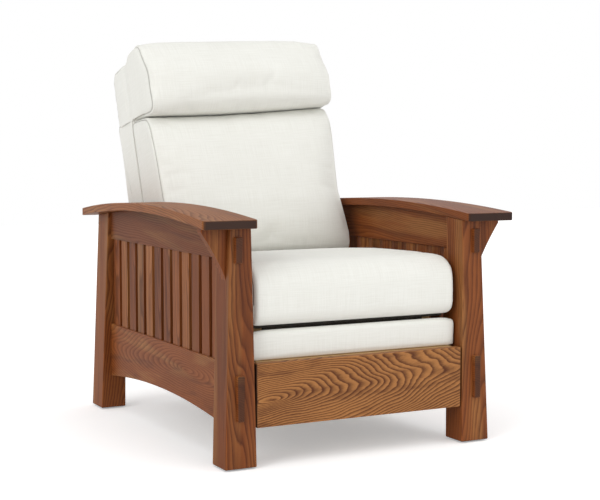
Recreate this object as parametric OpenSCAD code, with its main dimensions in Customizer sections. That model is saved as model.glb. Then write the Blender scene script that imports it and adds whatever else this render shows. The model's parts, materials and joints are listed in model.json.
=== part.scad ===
// Mission reclining armchair in oak: slatted side frames under bowed arms, a
// push-back upholstered back, and a footrest that swings out on scissor links.
// X runs to the sitter's left, Y to the back and Z up. Sections are laid out with
// Y = 0 at the foot of the front legs, then centred over the floor by placed().

/* [Side frames] */
// Half width between the legs under the arms
inner_half_top = 305; // [290:1:330]
// How much closer to the middle the front legs' inner faces stand at the floor
leg_splay = 7; // [0:0.5:12]
// Width of a front leg at the floor
leg_floor_w = 84; // [72:1:100]
// Width of every leg under the arm
leg_top_w = 56; // [48:1:66]
// Depth of a front leg
leg_d = 77; // [62:1:92]
// Width of a rear leg at the floor
rear_leg_floor_w = 74; // [66:1:90]
// Depth of a rear leg
rear_leg_d = 84; // [66:1:96]
// Forward lean of the front legs, and rearward lean of the rear legs
leg_lean = 14; // [0:1:24]
// Height of the felt glides under the legs
glide_h = 4; // [2:0.5:8]
// Distance from the front faces of the front legs to the back of the rear legs
frame_d = 958; // [900:1:1010]
// Thickness of the side rails
rail_t = 22; // [18:1:24]
// Distance from the legs' inner faces under the arms to the middle of the side rails
rail_set = 37; // [30:0.5:41]
// Height of the lower rails' top edge above the floor
lower_rail_top = 255; // [235:1:275]
// Height of the lower rails' ends above the floor
lower_rail_foot = 99; // [80:1:120]
// Rise of the arch under the lower rails
arch_rise = 26; // [0:1:40]
// Height of the upper rails' ends, below the level of the arms' front ends
upper_rail_h = 78; // [60:1:100]
// How far the through tenons stand proud of the front legs
tenon_proud = 10; // [4:1:16]
// Thickness of the through tenons
tenon_t = 18; // [12:1:20]
// Number of slats on each side
slat_count = 12; // [8:1:13]
// Width of a slat
slat_w = 44; // [30:1:48]
// Thickness of a slat
slat_t = 12; // [8:1:16]

/* [Arms] */
// Thickness of an arm
arm_t = 21; // [17:1:30]
// How far an arm stands in past the inner faces of its legs
arm_lap = 4; // [1:0.5:9]
// Width of an arm at its front end
arm_front_w = 143; // [130:1:155]
// Width of an arm at its rear end
arm_rear_w = 102; // [90:1:130]
// How far an arm stands out in front of the front leg's foot
arm_front_over = 17.5; // [10:0.5:30]
// How far an arm stands out behind the rear leg's foot
arm_rear_over = 16; // [8:1:30]
// Height of the arms' underside at the front
arm_under_z = 583; // [560:1:600]
// How much lower the arm's rear end is than its front end
arm_drop = 13; // [0:1:20]
// Bow of an arm between its ends
arm_bow = 28; // [10:1:40]
// Height of a corbel
corbel_h = 125; // [90:1:150]
// Distance of a corbel's tip from the outer edge of its arm
corbel_tip_set = 15; // [8:1:30]
// Thickness of a corbel
corbel_t = 25; // [18:1:30]

/* [Seat] */
// Angle at which the seat slopes down to the back
seat_pitch = 2.6; // [1:0.1:4]
// Thickness of the deck panel
deck_t = 8; // [6:1:10]
// Gap between the seat cushion and each front leg
cushion_gap = 5; // [2:0.5:14]
// Distance of the seat cushion's rear edge in front of the back's pivot
cushion_rear_set = 77; // [76:1:110]
// Thickness of the seat cushion at its side seams
cushion_t = 148; // [120:1:152]
// Crown of the seat cushion above its side seams
cushion_crown = 17; // [0:1:22]
// Height of the seat box rails
seat_rail_h = 104; // [80:1:120]
// Thickness of the seat box rails
seat_rail_t = 22; // [18:1:26]

/* [Back] */
// Angle of the back from upright at rest
back_tilt = 18; // [14:0.5:22]
// Height of the back's pivot above the deck's front edge
pivot_rise = 59.5; // [50:0.5:70]
// Distance of the back's pivot behind the front legs
pivot_y = 640; // [630:1:650]
// Gap between the back and each arm
back_gap = 17; // [12:1:30]
// Distance of the outer back behind the pivot, square to the back
back_rear = 173; // [165:1:180]
// Height of the back's top above the pivot, along the back
back_top = 672; // [640:1:700]
// Height above the pivot of the seam between outer back and upper cap
cap_foot = 500; // [470:1:540]
// Depth of the outer back below the pivot, along the back
back_foot = 80; // [60:1:84]
// Thickness of the outer back's shell
shell_t = 6; // [4:1:6]

/* [Footrest] */
// Thickness of the footrest board
board_t = 25; // [18:1:27]
// How far the board lies behind the front faces of the front legs
board_setback = 4; // [2:1:6]
// Gap between the board and each leg at the level of the board's foot
board_gap = 3.5; // [2:0.5:6]
// Gap between the padded strip and each leg
pad_gap = 3; // [1.5:0.5:6]
// Height of the board's lower edge above the floor
board_foot_z = 98; // [85:1:115]
// Height of the padded strip above the board
pad_h = 75; // [60:0.5:90]
// Gap between the padded strip and the seat cushion above it
strip_gap = 10.5; // [8:0.5:20]
// Length of each footrest link between its pivots
link_l = 185; // [175:1:188]
// Width of a footrest link
link_w = 18; // [14:1:20]
// Thickness of a link or steel plate
plate_t = 4; // [3:0.5:4.5]

/* [Hidden] */

$fn = 40;
// One overrun for every cut, and the clearances for turning and still fits
cut = 1;
run_gap = 0.08;
seat_gap = 0.2;
soft_gap = 0.4;

oak = [0.56, 0.33, 0.17];
ply = [0.78, 0.65, 0.45];
linen = [0.87, 0.87, 0.83];
steel = [0.45, 0.46, 0.48];

// Faces of the legs at any height: each leg tapers in width and leans in the side view
leg_top_z = arm_under_z + arm_bow;
rear_foot_y = frame_d;
inner_half_floor = inner_half_top - leg_splay;
rail_mid = inner_half_top + rail_set;
arm_inner = inner_half_top - arm_lap;
back_half = arm_inner - back_gap;
upper_rail_foot = arm_under_z - upper_rail_h;
deck_z = lower_rail_top + pad_h + strip_gap;
pivot_z = deck_z + pivot_rise;
function taper(at_floor, at_top, z) =
    at_floor + (at_top - at_floor) * (z - glide_h) / (arm_under_z - glide_h);
function inner_x(z) = taper(inner_half_floor, inner_half_top, z);
outer_half_floor = inner_half_floor + leg_floor_w;
outer_half_top = inner_half_top + leg_top_w;
function outer_x(z) = taper(outer_half_floor, outer_half_top, z);
function rear_inner_x(z) = taper(outer_half_floor - rear_leg_floor_w, inner_half_top, z);
function front_leg_front(z) = taper(0, leg_lean, z);
function front_leg_back(z) = front_leg_front(z) + leg_d;
function rear_leg_back(z) = rear_foot_y - taper(0, leg_lean, z);
function rear_leg_front(z) = rear_leg_back(z) - rear_leg_d;

// The underside of an arm is an arc of one circle, seen from the side
arm_front_y = -arm_front_over;
arm_rear_y = rear_foot_y + arm_rear_over;
arm_run = arm_rear_y - arm_front_y;
arm_chord = sqrt(arm_run * arm_run + arm_drop * arm_drop);
arm_r = (arm_chord * arm_chord / 4 + arm_bow * arm_bow) / (2 * arm_bow);
arm_centre_y = (arm_front_y + arm_rear_y) / 2 - (arm_r - arm_bow) * arm_drop / arm_chord;
arm_centre_z = arm_under_z - arm_drop / 2 - (arm_r - arm_bow) * arm_run / arm_chord;
// It is followed in short straight steps, the same ones for every piece that meets it
arm_steps = 32;
arm_path = [for (i = [0 : arm_steps]) let (y = arm_front_y + arm_run * i / arm_steps)
    [y, arm_centre_z + sqrt(arm_r * arm_r - (y - arm_centre_y) * (y - arm_centre_y))]];
function arm_z(y) = lookup(y, arm_path);
// Everything below the arms, seen from the side
module under_arm() { polygon(concat([[arm_rear_y, 0], [arm_front_y, 0]], arm_path)); }

// The chair stands centred over the floor, from the arms' front to the back's rounded top corner
cap_r = 24;
rear_reach = pivot_y + (back_rear - cap_r) * cos(back_tilt) + (back_top - cap_r) * sin(back_tilt) + cap_r;
centre_y = (rear_reach - arm_front_over) / 2;
module placed() { translate([0, -centre_y, 0]) children(); }

// Each side is +1 for the sitter's left, +X, and -1 for the sitter's right
module on_side(side) { mirror([side > 0 ? 0 : 1, 0, 0]) children(); }
// A profile drawn in Y and Z, given a thickness along X from x0 to x1
module slab(x0, x1) {
    translate([x0, 0, 0]) rotate([90, 0, 90]) linear_extrude(x1 - x0) children();
}
module box(x0, x1, y0, y1, z0, z1) { translate([x0, y0, z0]) cube([x1 - x0, y1 - y0, z1 - z0]); }
module rod_x(x0, x1, r, y, z) { translate([x0, y, z]) rotate([0, 90, 0]) cylinder(h = x1 - x0, r = r); }

// Tenons, shared by the rails that carry them and the legs that are cut for them
rail_in = rail_mid - rail_t / 2;
rail_out = rail_mid + rail_t / 2;
tenon_shoulder = 20;
lower_tenon_z = [lower_rail_foot + tenon_shoulder, lower_rail_top - tenon_shoulder * 1.25];
upper_tenon_z = [upper_rail_foot - tenon_shoulder / 4, arm_under_z - tenon_shoulder];
rear_tenon_l = 26;
module tenons(z) {
    box(rail_mid - tenon_t / 2, rail_mid + tenon_t / 2, -tenon_proud + front_leg_front(z[0]),
        rear_leg_front(z[0]) + rear_tenon_l, z[0], z[1]);
}

// Dowels between legs and arms stand in pairs across each leg
dowel_r = 5;
dowel_up = 13;
dowel_down = 26;
dowel_x = inner_half_top + leg_top_w / 4;
front_dowel_y = [leg_lean + leg_d * 0.3, leg_lean + leg_d * 0.75];
rear_dowel_y = [rear_foot_y - leg_lean - rear_leg_d * 0.7, rear_foot_y - leg_lean - rear_leg_d * 0.25];
module leg_dowels(y_pair, r) {
    for (y = y_pair)
        translate([dowel_x, y, arm_z(y) - dowel_down]) cylinder(h = dowel_down + dowel_up, r = r);
}

// Corbels stand against the outer faces of the front legs
corbel_setback = 16;
corbel_y0 = leg_lean + corbel_setback;
corbel_y1 = corbel_y0 + corbel_t;
corbel_foot_z = arm_under_z - corbel_h;
corbel_lip = 8;
corbel_w = arm_front_w - arm_lap - leg_top_w - corbel_tip_set;
corbel_curve = 1.25;
corbel_steps = 12;
corbel_dowel_r = 4;
corbel_dowel_l = 8;
corbel_dowel_share = [0.45, 0.8];
module corbel_pegs(r) {
    for (s = corbel_dowel_share)
        let (z = corbel_foot_z + corbel_h * s, x = outer_x(z))
            rod_x(x - corbel_dowel_l, x + corbel_dowel_l, r, (corbel_y0 + corbel_y1) / 2, z);
}

module front_leg(side) {
    placed() on_side(side) color(oak) difference() {
        intersection() {
            translate([0, leg_d + leg_lean + cut, 0]) rotate([90, 0, 0])
                linear_extrude(leg_d + leg_lean + cut * 2) polygon([
                    [inner_half_floor, glide_h], [outer_half_floor, glide_h],
                    [outer_x(leg_top_z), leg_top_z], [inner_x(leg_top_z), leg_top_z]]);
            slab(0, outer_half_floor + cut) intersection() {
                polygon([[front_leg_front(glide_h), glide_h], [front_leg_back(glide_h), glide_h],
                    [front_leg_back(leg_top_z), leg_top_z], [front_leg_front(leg_top_z), leg_top_z]]);
                under_arm();
            }
        }
        tenons(lower_tenon_z);
        tenons(upper_tenon_z);
        leg_dowels(front_dowel_y, dowel_r + seat_gap);
        corbel_pegs(corbel_dowel_r + seat_gap);
    }
}
module front_left_leg() { front_leg(1); }
module front_right_leg() { front_leg(-1); }

// The rear stretcher ties the rear legs together low down
stretcher_t = 24;
stretcher_tenon = 30;
stretcher_y0 = rear_leg_front(lower_rail_top) + (rear_leg_d - stretcher_t) / 2;
stretcher_tenon_z = [lower_rail_foot + tenon_shoulder, lower_rail_top - tenon_shoulder];
module stretcher_tenons() {
    reach = rear_inner_x(lower_rail_foot) + stretcher_tenon;
    z = stretcher_tenon_z;
    box(-reach, reach, stretcher_y0, stretcher_y0 + stretcher_t, z[0], z[1]);
}

module rear_leg(side) {
    placed() on_side(side) color(oak) difference() {
        intersection() {
            translate([0, rear_foot_y + cut, 0]) rotate([90, 0, 0])
                linear_extrude(rear_leg_d + leg_lean + cut * 2) polygon([
                    [outer_half_floor - rear_leg_floor_w, glide_h], [outer_half_floor, glide_h],
                    [outer_x(leg_top_z), leg_top_z], [rear_inner_x(leg_top_z), leg_top_z]]);
            slab(0, outer_half_floor + cut) intersection() {
                polygon([[rear_leg_front(glide_h), glide_h], [rear_leg_back(glide_h), glide_h],
                    [rear_leg_back(leg_top_z), leg_top_z], [rear_leg_front(leg_top_z), leg_top_z]]);
                under_arm();
            }
        }
        tenons(lower_tenon_z);
        tenons(upper_tenon_z);
        stretcher_tenons();
        leg_dowels(rear_dowel_y, dowel_r + seat_gap);
    }
}
module rear_left_leg() { rear_leg(1); }
module rear_right_leg() { rear_leg(-1); }

module rear_stretcher() {
    foot_x = rear_inner_x(lower_rail_foot);
    top_x = rear_inner_x(lower_rail_top);
    placed() color(oak) union() {
        translate([0, stretcher_y0 + stretcher_t, 0]) rotate([90, 0, 0]) linear_extrude(stretcher_t)
            polygon([[-foot_x, lower_rail_foot], [foot_x, lower_rail_foot],
                [top_x, lower_rail_top], [-top_x, lower_rail_top]]);
        stretcher_tenons();
    }
}

// A bowed board, cut to a plan that narrows towards the back
module arm(side) {
    placed() on_side(side) color(oak) difference() {
        intersection() {
            slab(0, arm_inner + arm_front_w + cut) polygon(concat(
                arm_path, [for (i = [arm_steps : -1 : 0]) arm_path[i] + [0, arm_t]]));
            linear_extrude(arm_under_z + arm_bow + arm_t * 2) polygon([
                [arm_inner, arm_front_y - cut], [arm_inner + arm_front_w, arm_front_y - cut],
                [arm_inner + arm_rear_w, arm_rear_y + cut], [arm_inner, arm_rear_y + cut]]);
        }
        leg_dowels(front_dowel_y, dowel_r + seat_gap);
        leg_dowels(rear_dowel_y, dowel_r + seat_gap);
    }
}
module left_arm() { arm(1); }
module right_arm() { arm(-1); }

module arm_dowels() {
    placed() color(ply) for (side = [1, -1]) on_side(side) {
        leg_dowels(front_dowel_y, dowel_r);
        leg_dowels(rear_dowel_y, dowel_r);
    }
}

// Slats are let into both rails, with equal gaps between the legs
slat_housing = 10;
slat_in = rail_mid - slat_t / 2;
slat_run_y = front_leg_back(lower_rail_top);
slat_run = rear_leg_front(lower_rail_top) - slat_run_y;
slat_gap = (slat_run - slat_count * slat_w) / (slat_count + 1);
module slats() {
    for (i = [0 : slat_count - 1]) let (y = slat_run_y + slat_gap + i * (slat_w + slat_gap))
        box(slat_in, slat_in + slat_t, y, y + slat_w,
            lower_rail_top - slat_housing, upper_rail_foot + slat_housing);
}
module left_slats() { placed() color(oak) on_side(1) slats(); }
module right_slats() { placed() color(oak) on_side(-1) slats(); }

module upper_rail(side) {
    placed() on_side(side) color(oak) difference() {
        union() {
            slab(rail_in, rail_out) intersection() {
                polygon([[rear_leg_front(upper_rail_foot), upper_rail_foot],
                    [front_leg_back(upper_rail_foot), upper_rail_foot],
                    [front_leg_back(leg_top_z), leg_top_z], [rear_leg_front(leg_top_z), leg_top_z]]);
                under_arm();
            }
            tenons(upper_tenon_z);
        }
        slats();
    }
}
module left_upper_rail() { upper_rail(1); }
module right_upper_rail() { upper_rail(-1); }

arch_y0 = front_leg_back(lower_rail_foot);
arch_y1 = rear_leg_front(lower_rail_foot);
arch_steps = 20;
module lower_rail(side) {
    placed() on_side(side) color(oak) difference() {
        union() {
            slab(rail_in, rail_out) polygon(concat(
                [[rear_leg_front(lower_rail_top), lower_rail_top],
                    [front_leg_back(lower_rail_top), lower_rail_top]],
                [for (i = [0 : arch_steps]) let (s = i / arch_steps)
                    [arch_y0 + (arch_y1 - arch_y0) * s, lower_rail_foot + arch_rise * 4 * s * (1 - s)]]));
            tenons(lower_tenon_z);
        }
        slats();
        bolt_shafts(bolt_r + seat_gap);
    }
}
module left_lower_rail() { lower_rail(1); }
module right_lower_rail() { lower_rail(-1); }

module corbel(side) {
    placed() on_side(side) color(oak) difference() {
        intersection() {
            translate([0, corbel_y1, 0]) rotate([90, 0, 0]) linear_extrude(corbel_t) polygon(concat(
                [[outer_x(leg_top_z), leg_top_z]],
                [for (i = [0 : corbel_steps])
                    let (s = i / corbel_steps, z = corbel_foot_z + (corbel_h - corbel_lip) * s)
                        [outer_x(z) + corbel_w * pow(s, corbel_curve), z]],
                [[outer_x(arm_under_z) + corbel_w, leg_top_z]]));
            slab(0, outer_half_top + corbel_w * 2) under_arm();
        }
        corbel_pegs(corbel_dowel_r + seat_gap);
    }
}
module left_corbel() { corbel(1); }
module right_corbel() { corbel(-1); }
module corbel_dowels() {
    placed() color(ply) for (side = [1, -1]) on_side(side) corbel_pegs(corbel_dowel_r);
}

module leg_glides() {
    placed() color([0.2, 0.2, 0.2]) for (side = [1, -1]) on_side(side) {
        translate([inner_half_floor + leg_floor_w / 2, leg_d / 2, 0]) cylinder(h = glide_h, r = leg_d / 4);
        translate([outer_half_floor - rear_leg_floor_w / 2, rear_foot_y - rear_leg_d / 2, 0])
            cylinder(h = glide_h, r = leg_d / 4);
    }
}

// The seat box lies in a frame of its own that slopes down to the back: Y = 0 there
// is under the seat cushion's front, and Z = 0 is the top of the deck
cushion_front_y = 27;
cushion_half = inner_x(deck_z) - cushion_gap;
// The seat box is as wide as lets its pivot plates pass outside the posts of the back
post_t = 22;
post_out = back_half - shell_t - seat_gap;
post_room = 2.2;
seat_box_half = post_out - post_t + post_room;
cushion_d = pivot_y - cushion_rear_set - cushion_front_y;
module seat_pose() { translate([0, cushion_front_y, deck_z]) rotate([-seat_pitch, 0, 0]) children(); }
backing_d = 33;
backing_back = board_setback + board_t + backing_d;
front_rail_room = 39;
rear_rail_set = 41;
seat_box_front = backing_back + front_rail_room - cushion_front_y;
seat_box_rear = pivot_y - rear_rail_set - cushion_front_y;
rail_head = -deck_t;
rail_bottom = rail_head - seat_rail_h;
webbing_t = 2;
webbing_w = 50;
webbing_count = 5;

// Pivots of the footrest linkage, given at rest as [Y, Z]. The lift link swings through
// 60 degrees and the reach link back through 120, so the foot pivot keeps to one line;
// the control link's pivot is placed so that its free end stays at its pin all the way
link_slope = 4;
fold_angle = 80;
lift_back = 112;
lift_drop = 57.5;
lift_pivot = [backing_back + lift_back, deck_z - lift_drop];
function along(angle) = [-cos(angle), sin(angle)];
elbow_pivot = lift_pivot + link_l * along(link_slope - fold_angle);
foot_pivot = elbow_pivot + link_l * along(link_slope + fold_angle);
control_end_share = 0.07568;
control_pivot_shares = [-0.05405, 0.13362];
control_end = elbow_pivot + link_l * control_end_share * along(link_slope + fold_angle);
control_pivot = lift_pivot + link_l * control_pivot_shares;

// Layers of steel, counted outwards from the seat box in steps of one plate and one gap
layer_gap = 2;
function layer(i) = seat_box_half + i * (plate_t + layer_gap);
tube_r = 11;
tube_eye = 19;
pin_r = 5;
pin_eye = 10;
control_pin_r = 4;
control_eye = 9;
open_eye_hole = 8;
open_eye = 12;
rivet_head_t = 1.2;
pin_head_r = 8;
// A hole through the plate or link in one layer
module eye_hole(i, r, at) { rod_x(layer(i) - cut, layer(i) + plate_t + cut, r, at[0], at[1]); }
// A pin from the plate in one layer to that in another, with low heads. A pin that
// starts in the side plate has no inner head, because the seat box stands there
module pin(i, j, r, at) {
    x0 = layer(i) - (i > 0 ? seat_gap : 0);
    x1 = layer(j) + plate_t + seat_gap;
    rod_x(x0, x1, r, at[0], at[1]);
    rod_x(x1, x1 + rivet_head_t, pin_head_r, at[0], at[1]);
    if (i > 0) rod_x(x0 - rivet_head_t, x0, pin_head_r, at[0], at[1]);
}

// The pivot ear stands up from the rear end of each side plate
ear_r = 17;
ear_set = 44;
plate_lead = 46;
plate_front_y = lift_pivot[0] - plate_lead;
plate_rear_y = pivot_y - ear_set;

// Bolts run through seat rail, side plate and bearer into the lower rail
bearer_h = 44;
bearer_l = 300;
bearer_set = 6;
bearer_drop = 11;
bearer_foot_z = lower_rail_top - bearer_h - bearer_drop;
bearer_head_z = bearer_foot_z + bearer_h;
bearer_rear_y = plate_rear_y - bearer_set;
bearer_front_y = bearer_rear_y - bearer_l;
bolt_r = 4;
bolt_head_r = 8;
bolt_head_t = 4;
bolt_bite = 12;
bolt_share = [0.13, 0.83];
bolt_z = bearer_foot_z + bearer_h / 2;
module bolt_shafts(r) {
    for (s = bolt_share)
        rod_x(seat_box_half - seat_rail_t, rail_in + bolt_bite, r, bearer_front_y + bearer_l * s, bolt_z);
}

module seat_side_rail(side) {
    placed() on_side(side) color(ply) difference() {
        seat_pose() box(seat_box_half - seat_rail_t, seat_box_half, seat_box_front, seat_box_rear,
            rail_bottom, rail_head);
        rod_x(seat_box_half - seat_rail_t - cut, seat_box_half + cut, tube_r + layer_gap,
            lift_pivot[0], lift_pivot[1]);
        bolt_shafts(bolt_r + seat_gap);
    }
}
module seat_left_rail() { seat_side_rail(1); }
module seat_right_rail() { seat_side_rail(-1); }
module cross_rail(y0) {
    reach = seat_box_half - seat_rail_t;
    placed() color(ply) seat_pose() box(-reach, reach, y0, y0 + seat_rail_t, rail_bottom, rail_head);
}
module seat_front_rail() { cross_rail(seat_box_front); }
module seat_rear_rail() { cross_rail(seat_box_rear - seat_rail_t); }

// Webbing bands lie under the deck, tacked to the inner faces of the cross rails
module seat_webbing() {
    inner = seat_box_half - seat_rail_t;
    pitch = 2 * inner / webbing_count;
    placed() color([0.35, 0.33, 0.3]) seat_pose() for (i = [0 : webbing_count - 1])
        let (x = -inner + pitch * (i + 0.5))
            box(x - webbing_w / 2, x + webbing_w / 2, seat_box_front + seat_rail_t,
                seat_box_rear - seat_rail_t, rail_head - webbing_t, rail_head);
}
deck_overhang = 18;
deck_rear_set = 52;
deck_inset = 11;
deck_front = seat_box_front - deck_overhang;
deck_rear = seat_box_rear - deck_rear_set;
deck_half = cushion_half - deck_inset;
module seat_deck() {
    placed() color([0.55, 0.53, 0.5]) seat_pose()
        box(-deck_half, deck_half, deck_front, deck_rear, -deck_t, 0);
}

module seat_bearer(side) {
    placed() on_side(side) color(ply) difference() {
        box(layer(0) + plate_t, rail_in, bearer_front_y, bearer_rear_y, bearer_foot_z, bearer_head_z);
        bolt_shafts(bolt_r + seat_gap);
    }
}
module left_seat_bearer() { seat_bearer(1); }
module right_seat_bearer() { seat_bearer(-1); }
module seat_bolts() {
    placed() color(steel) for (side = [1, -1]) on_side(side) {
        bolt_shafts(bolt_r);
        for (s = bolt_share) rod_x(seat_box_half - seat_rail_t - bolt_head_t, seat_box_half - seat_rail_t,
            bolt_head_r, bearer_front_y + bearer_l * s, bolt_z);
    }
}

// One steel plate on each side carries every fixed pivot of the mechanism
module side_plate(side) {
    placed() on_side(side) color(steel) difference() {
        union() {
            slab(layer(0), layer(0) + plate_t) polygon([
                [plate_front_y, lift_pivot[1] + ear_r * 2], [plate_front_y, lift_pivot[1] - ear_r * 2],
                [bearer_front_y, bearer_foot_z], [plate_rear_y, bearer_foot_z],
                [plate_rear_y + ear_r / 2, lift_pivot[1]],
                [pivot_y + ear_r * 0.9, pivot_z - ear_r * 0.5],
                [pivot_y - ear_r * 0.95, pivot_z + ear_r * 0.3],
                [plate_rear_y - ear_r * 3, lift_pivot[1]],
                [bearer_front_y, bearer_head_z + ear_r / 2]]);
            rod_x(layer(0), layer(0) + plate_t, ear_r, pivot_y, pivot_z);
        }
        eye_hole(0, tube_r + run_gap, lift_pivot);
        eye_hole(0, control_pin_r + run_gap, control_pivot);
        eye_hole(0, pin_r + run_gap, [pivot_y, pivot_z]);
        bolt_shafts(bolt_r + seat_gap);
    }
}
module left_side_plate() { side_plate(1); }
module right_side_plate() { side_plate(-1); }

// A flat bar with a round eye at each end, drawn in Y and Z
module bar(from, to, r_from, r_to) {
    square_off = [from[1] - to[1], to[0] - from[0]] * (link_w / 2 / norm(to - from));
    translate(from) circle(r = r_from);
    translate(to) circle(r = r_to);
    polygon([from + square_off, from - square_off, to - square_off, to + square_off]);
}
module frame_rivets() {
    placed() color(steel) for (side = [1, -1]) on_side(side) pin(0, 3, control_pin_r, control_pivot);
}

module lift_link(side) {
    placed() on_side(side) color(steel) difference() {
        slab(layer(1), layer(1) + plate_t) bar(lift_pivot, elbow_pivot, tube_eye, pin_eye);
        eye_hole(1, tube_r + run_gap, lift_pivot);
        eye_hole(1, pin_r + run_gap, elbow_pivot);
    }
}
module left_lift_link() { lift_link(1); }
module right_lift_link() { lift_link(-1); }
tube_wall = 2;
module torque_tube() {
    reach = layer(1) + plate_t;
    placed() color(steel) difference() {
        rod_x(-reach, reach, tube_r, lift_pivot[0], lift_pivot[1]);
        rod_x(-reach - cut, reach + cut, tube_r - tube_wall, lift_pivot[0], lift_pivot[1]);
    }
}
module lift_rivets() {
    placed() color(steel) for (side = [1, -1]) on_side(side) pin(1, 2, pin_r, elbow_pivot);
}

module reach_link(side) {
    placed() on_side(side) color(steel) difference() {
        slab(layer(2), layer(2) + plate_t) bar(elbow_pivot, foot_pivot, pin_eye, pin_eye);
        eye_hole(2, pin_r + run_gap, elbow_pivot);
        eye_hole(2, pin_r + run_gap, foot_pivot);
        eye_hole(2, control_pin_r + run_gap, control_end);
    }
}
module left_reach_link() { reach_link(1); }
module right_reach_link() { reach_link(-1); }
module reach_rivets() {
    head_in = layer(3) + plate_t + seat_gap;
    placed() color(steel) for (side = [1, -1]) on_side(side) {
        pin(1, 2, pin_r, foot_pivot);
        rod_x(layer(2), head_in, control_pin_r, control_end[0], control_end[1]);
        rod_x(head_in, head_in + rivet_head_t, open_eye, control_end[0], control_end[1]);
    }
}

// The control link's lower eye is open: its pin passes through with room to spare
module control_link(side) {
    placed() on_side(side) color(steel) difference() {
        slab(layer(3), layer(3) + plate_t) bar(control_pivot, control_end, control_eye, open_eye);
        eye_hole(3, control_pin_r + run_gap, control_pivot);
        eye_hole(3, open_eye_hole, control_end);
    }
}
module left_control_link() { control_link(1); }
module right_control_link() { control_link(-1); }

// The footrest hangs between the front legs, under the seat cushion
board_top_z = lower_rail_top;
board_half = inner_x(board_foot_z) - board_gap;
module footrest_board() {
    placed() color(oak)
        box(-board_half, board_half, board_setback, board_setback + board_t, board_foot_z, board_top_z);
}
pad_cover = 12;
backing_t = 18;
backing_inset = 12;
backing_foot_z = board_foot_z + backing_inset;
backing_top_z = board_top_z + pad_h - pad_cover;
backing_half = board_half - backing_inset;
module backing_shape(gap) {
    box(-backing_half - gap, backing_half + gap, backing_back - backing_t - gap, backing_back + gap,
        backing_foot_z, backing_top_z + gap);
}
module footrest_backing() {
    placed() color(ply) difference() {
        union() {
            backing_shape(0);
            box(-backing_half, backing_half, board_setback + board_t, backing_back - backing_t,
                backing_foot_z, board_top_z);
        }
        bracket_screws(screw_r + seat_gap, backing_back - screw_l, screw_l + cut);
    }
}

// Brackets reach forward from the foot pivot and turn along the backing
bracket_foot_w = 28;
bracket_h = 104;
bracket_head_z = backing_top_z - pad_cover * 1.5;
bracket_foot_z = bracket_head_z - bracket_h;
bracket_x = layer(1) + plate_t;
screw_r = 2.5;
screw_l = 16;
screw_share = [0.15, 0.85];
module bracket_screws(r, y0, l) {
    for (side = [1, -1]) on_side(side) for (s = screw_share)
        translate([bracket_x - plate_t / 2 - bracket_foot_w / 2, y0, bracket_foot_z + bracket_h * s])
            rotate([-90, 0, 0]) cylinder(h = l, r = r);
}
module footrest_bracket(side) {
    placed() on_side(side) color(steel) difference() {
        union() {
            slab(layer(1), bracket_x) difference() {
                union() {
                    translate(foot_pivot) circle(r = pin_eye);
                    polygon([[backing_back, bracket_foot_z],
                        foot_pivot + pin_eye * [sin(link_slope * 7), -cos(link_slope * 7)],
                        foot_pivot + [0, pin_eye], [backing_back, bracket_head_z]]);
                }
                translate(foot_pivot) circle(r = pin_r + run_gap);
            }
            box(bracket_x - bracket_foot_w, bracket_x, backing_back, backing_back + plate_t,
                bracket_foot_z, bracket_head_z);
        }
        bracket_screws(screw_r + seat_gap, backing_back - cut, plate_t + cut * 2);
    }
}
module left_footrest_bracket() { footrest_bracket(1); }
module right_footrest_bracket() { footrest_bracket(-1); }
module footrest_screws() {
    placed() color(steel) {
        bracket_screws(screw_r, backing_back - screw_l, screw_l + plate_t);
        bracket_screws(screw_r * 2, backing_back + plate_t, rivet_head_t);
    }
}

// Soft forms are lofted across the chair from one ring of points per station.
// Each ring is the side profile, crowned towards the middle and eased in at the ends.
round_share = [for (i = [0 : 4]) i / 4];
// A rounded outline in [Y, Z]: corners as [y, z, radius, start angle], with one
// point between each pair of corners for every step of side_steps
function corner_arc(c) = [for (s = round_share) let (a = c[3] + 90 * s)
    [c[0] + c[2] * cos(a), c[1] + c[2] * sin(a)]];
side_steps = 6;
function bridge(a, b) = [for (i = [1 : side_steps - 1]) a + (b - a) * i / side_steps];
function outline(corners) = [for (k = [0 : len(corners) - 1])
    let (here = corner_arc(corners[k]), next = corner_arc(corners[(k + 1) % len(corners)]))
        each concat(here, bridge(here[len(here) - 1], next[0]))];
// The end stations lie close together, so that the sewn edge reads as a narrow roll
station_share = [-1, -0.985, -0.95, -0.88, -0.74, -0.5, -0.2, 0.2, 0.5, 0.74, 0.88, 0.95, 0.985, 1];
function crown_at(t) = 1 - pow(abs(t), 6);
function edge_at(t, roll) = roll * pow(abs(t), 24);
function hump(v, lo, hi) = v <= lo || v >= hi ? 0 : let (s = (v - lo) / (hi - lo)) 4 * s * (1 - s);
function mean_of(v) = v * [for (a = v) 1] / len(v);
function mean_point(ring) = [for (k = [0, 1]) mean_of([for (p = ring) p[k]])];
module loft(rings) {
    n = len(rings[0]);
    m = len(rings);
    centres = [for (r = [rings[0], rings[m - 1]]) [for (k = [0 : 2]) mean_of([for (p = r) p[k]])]];
    polyhedron(
        points = concat([for (r = rings) each r], centres),
        faces = concat(
            [for (i = [0 : m - 2]) for (j = [0 : n - 1])
                let (a = i * n + j, b = i * n + (j + 1) % n) each [[a, b + n, b], [a, a + n, b + n]]],
            [for (j = [0 : n - 1]) [m * n, j, (j + 1) % n]],
            [for (j = [0 : n - 1]) let (a = (m - 1) * n) [m * n + 1, a + (j + 1) % n, a + j]]));
}
// Draws a point in towards the middle of its ring, by a length
function eased(p, middle, by) = let (v = middle - p, d = norm(v)) d > 0 ? p + v * (by / d) : p;

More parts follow.
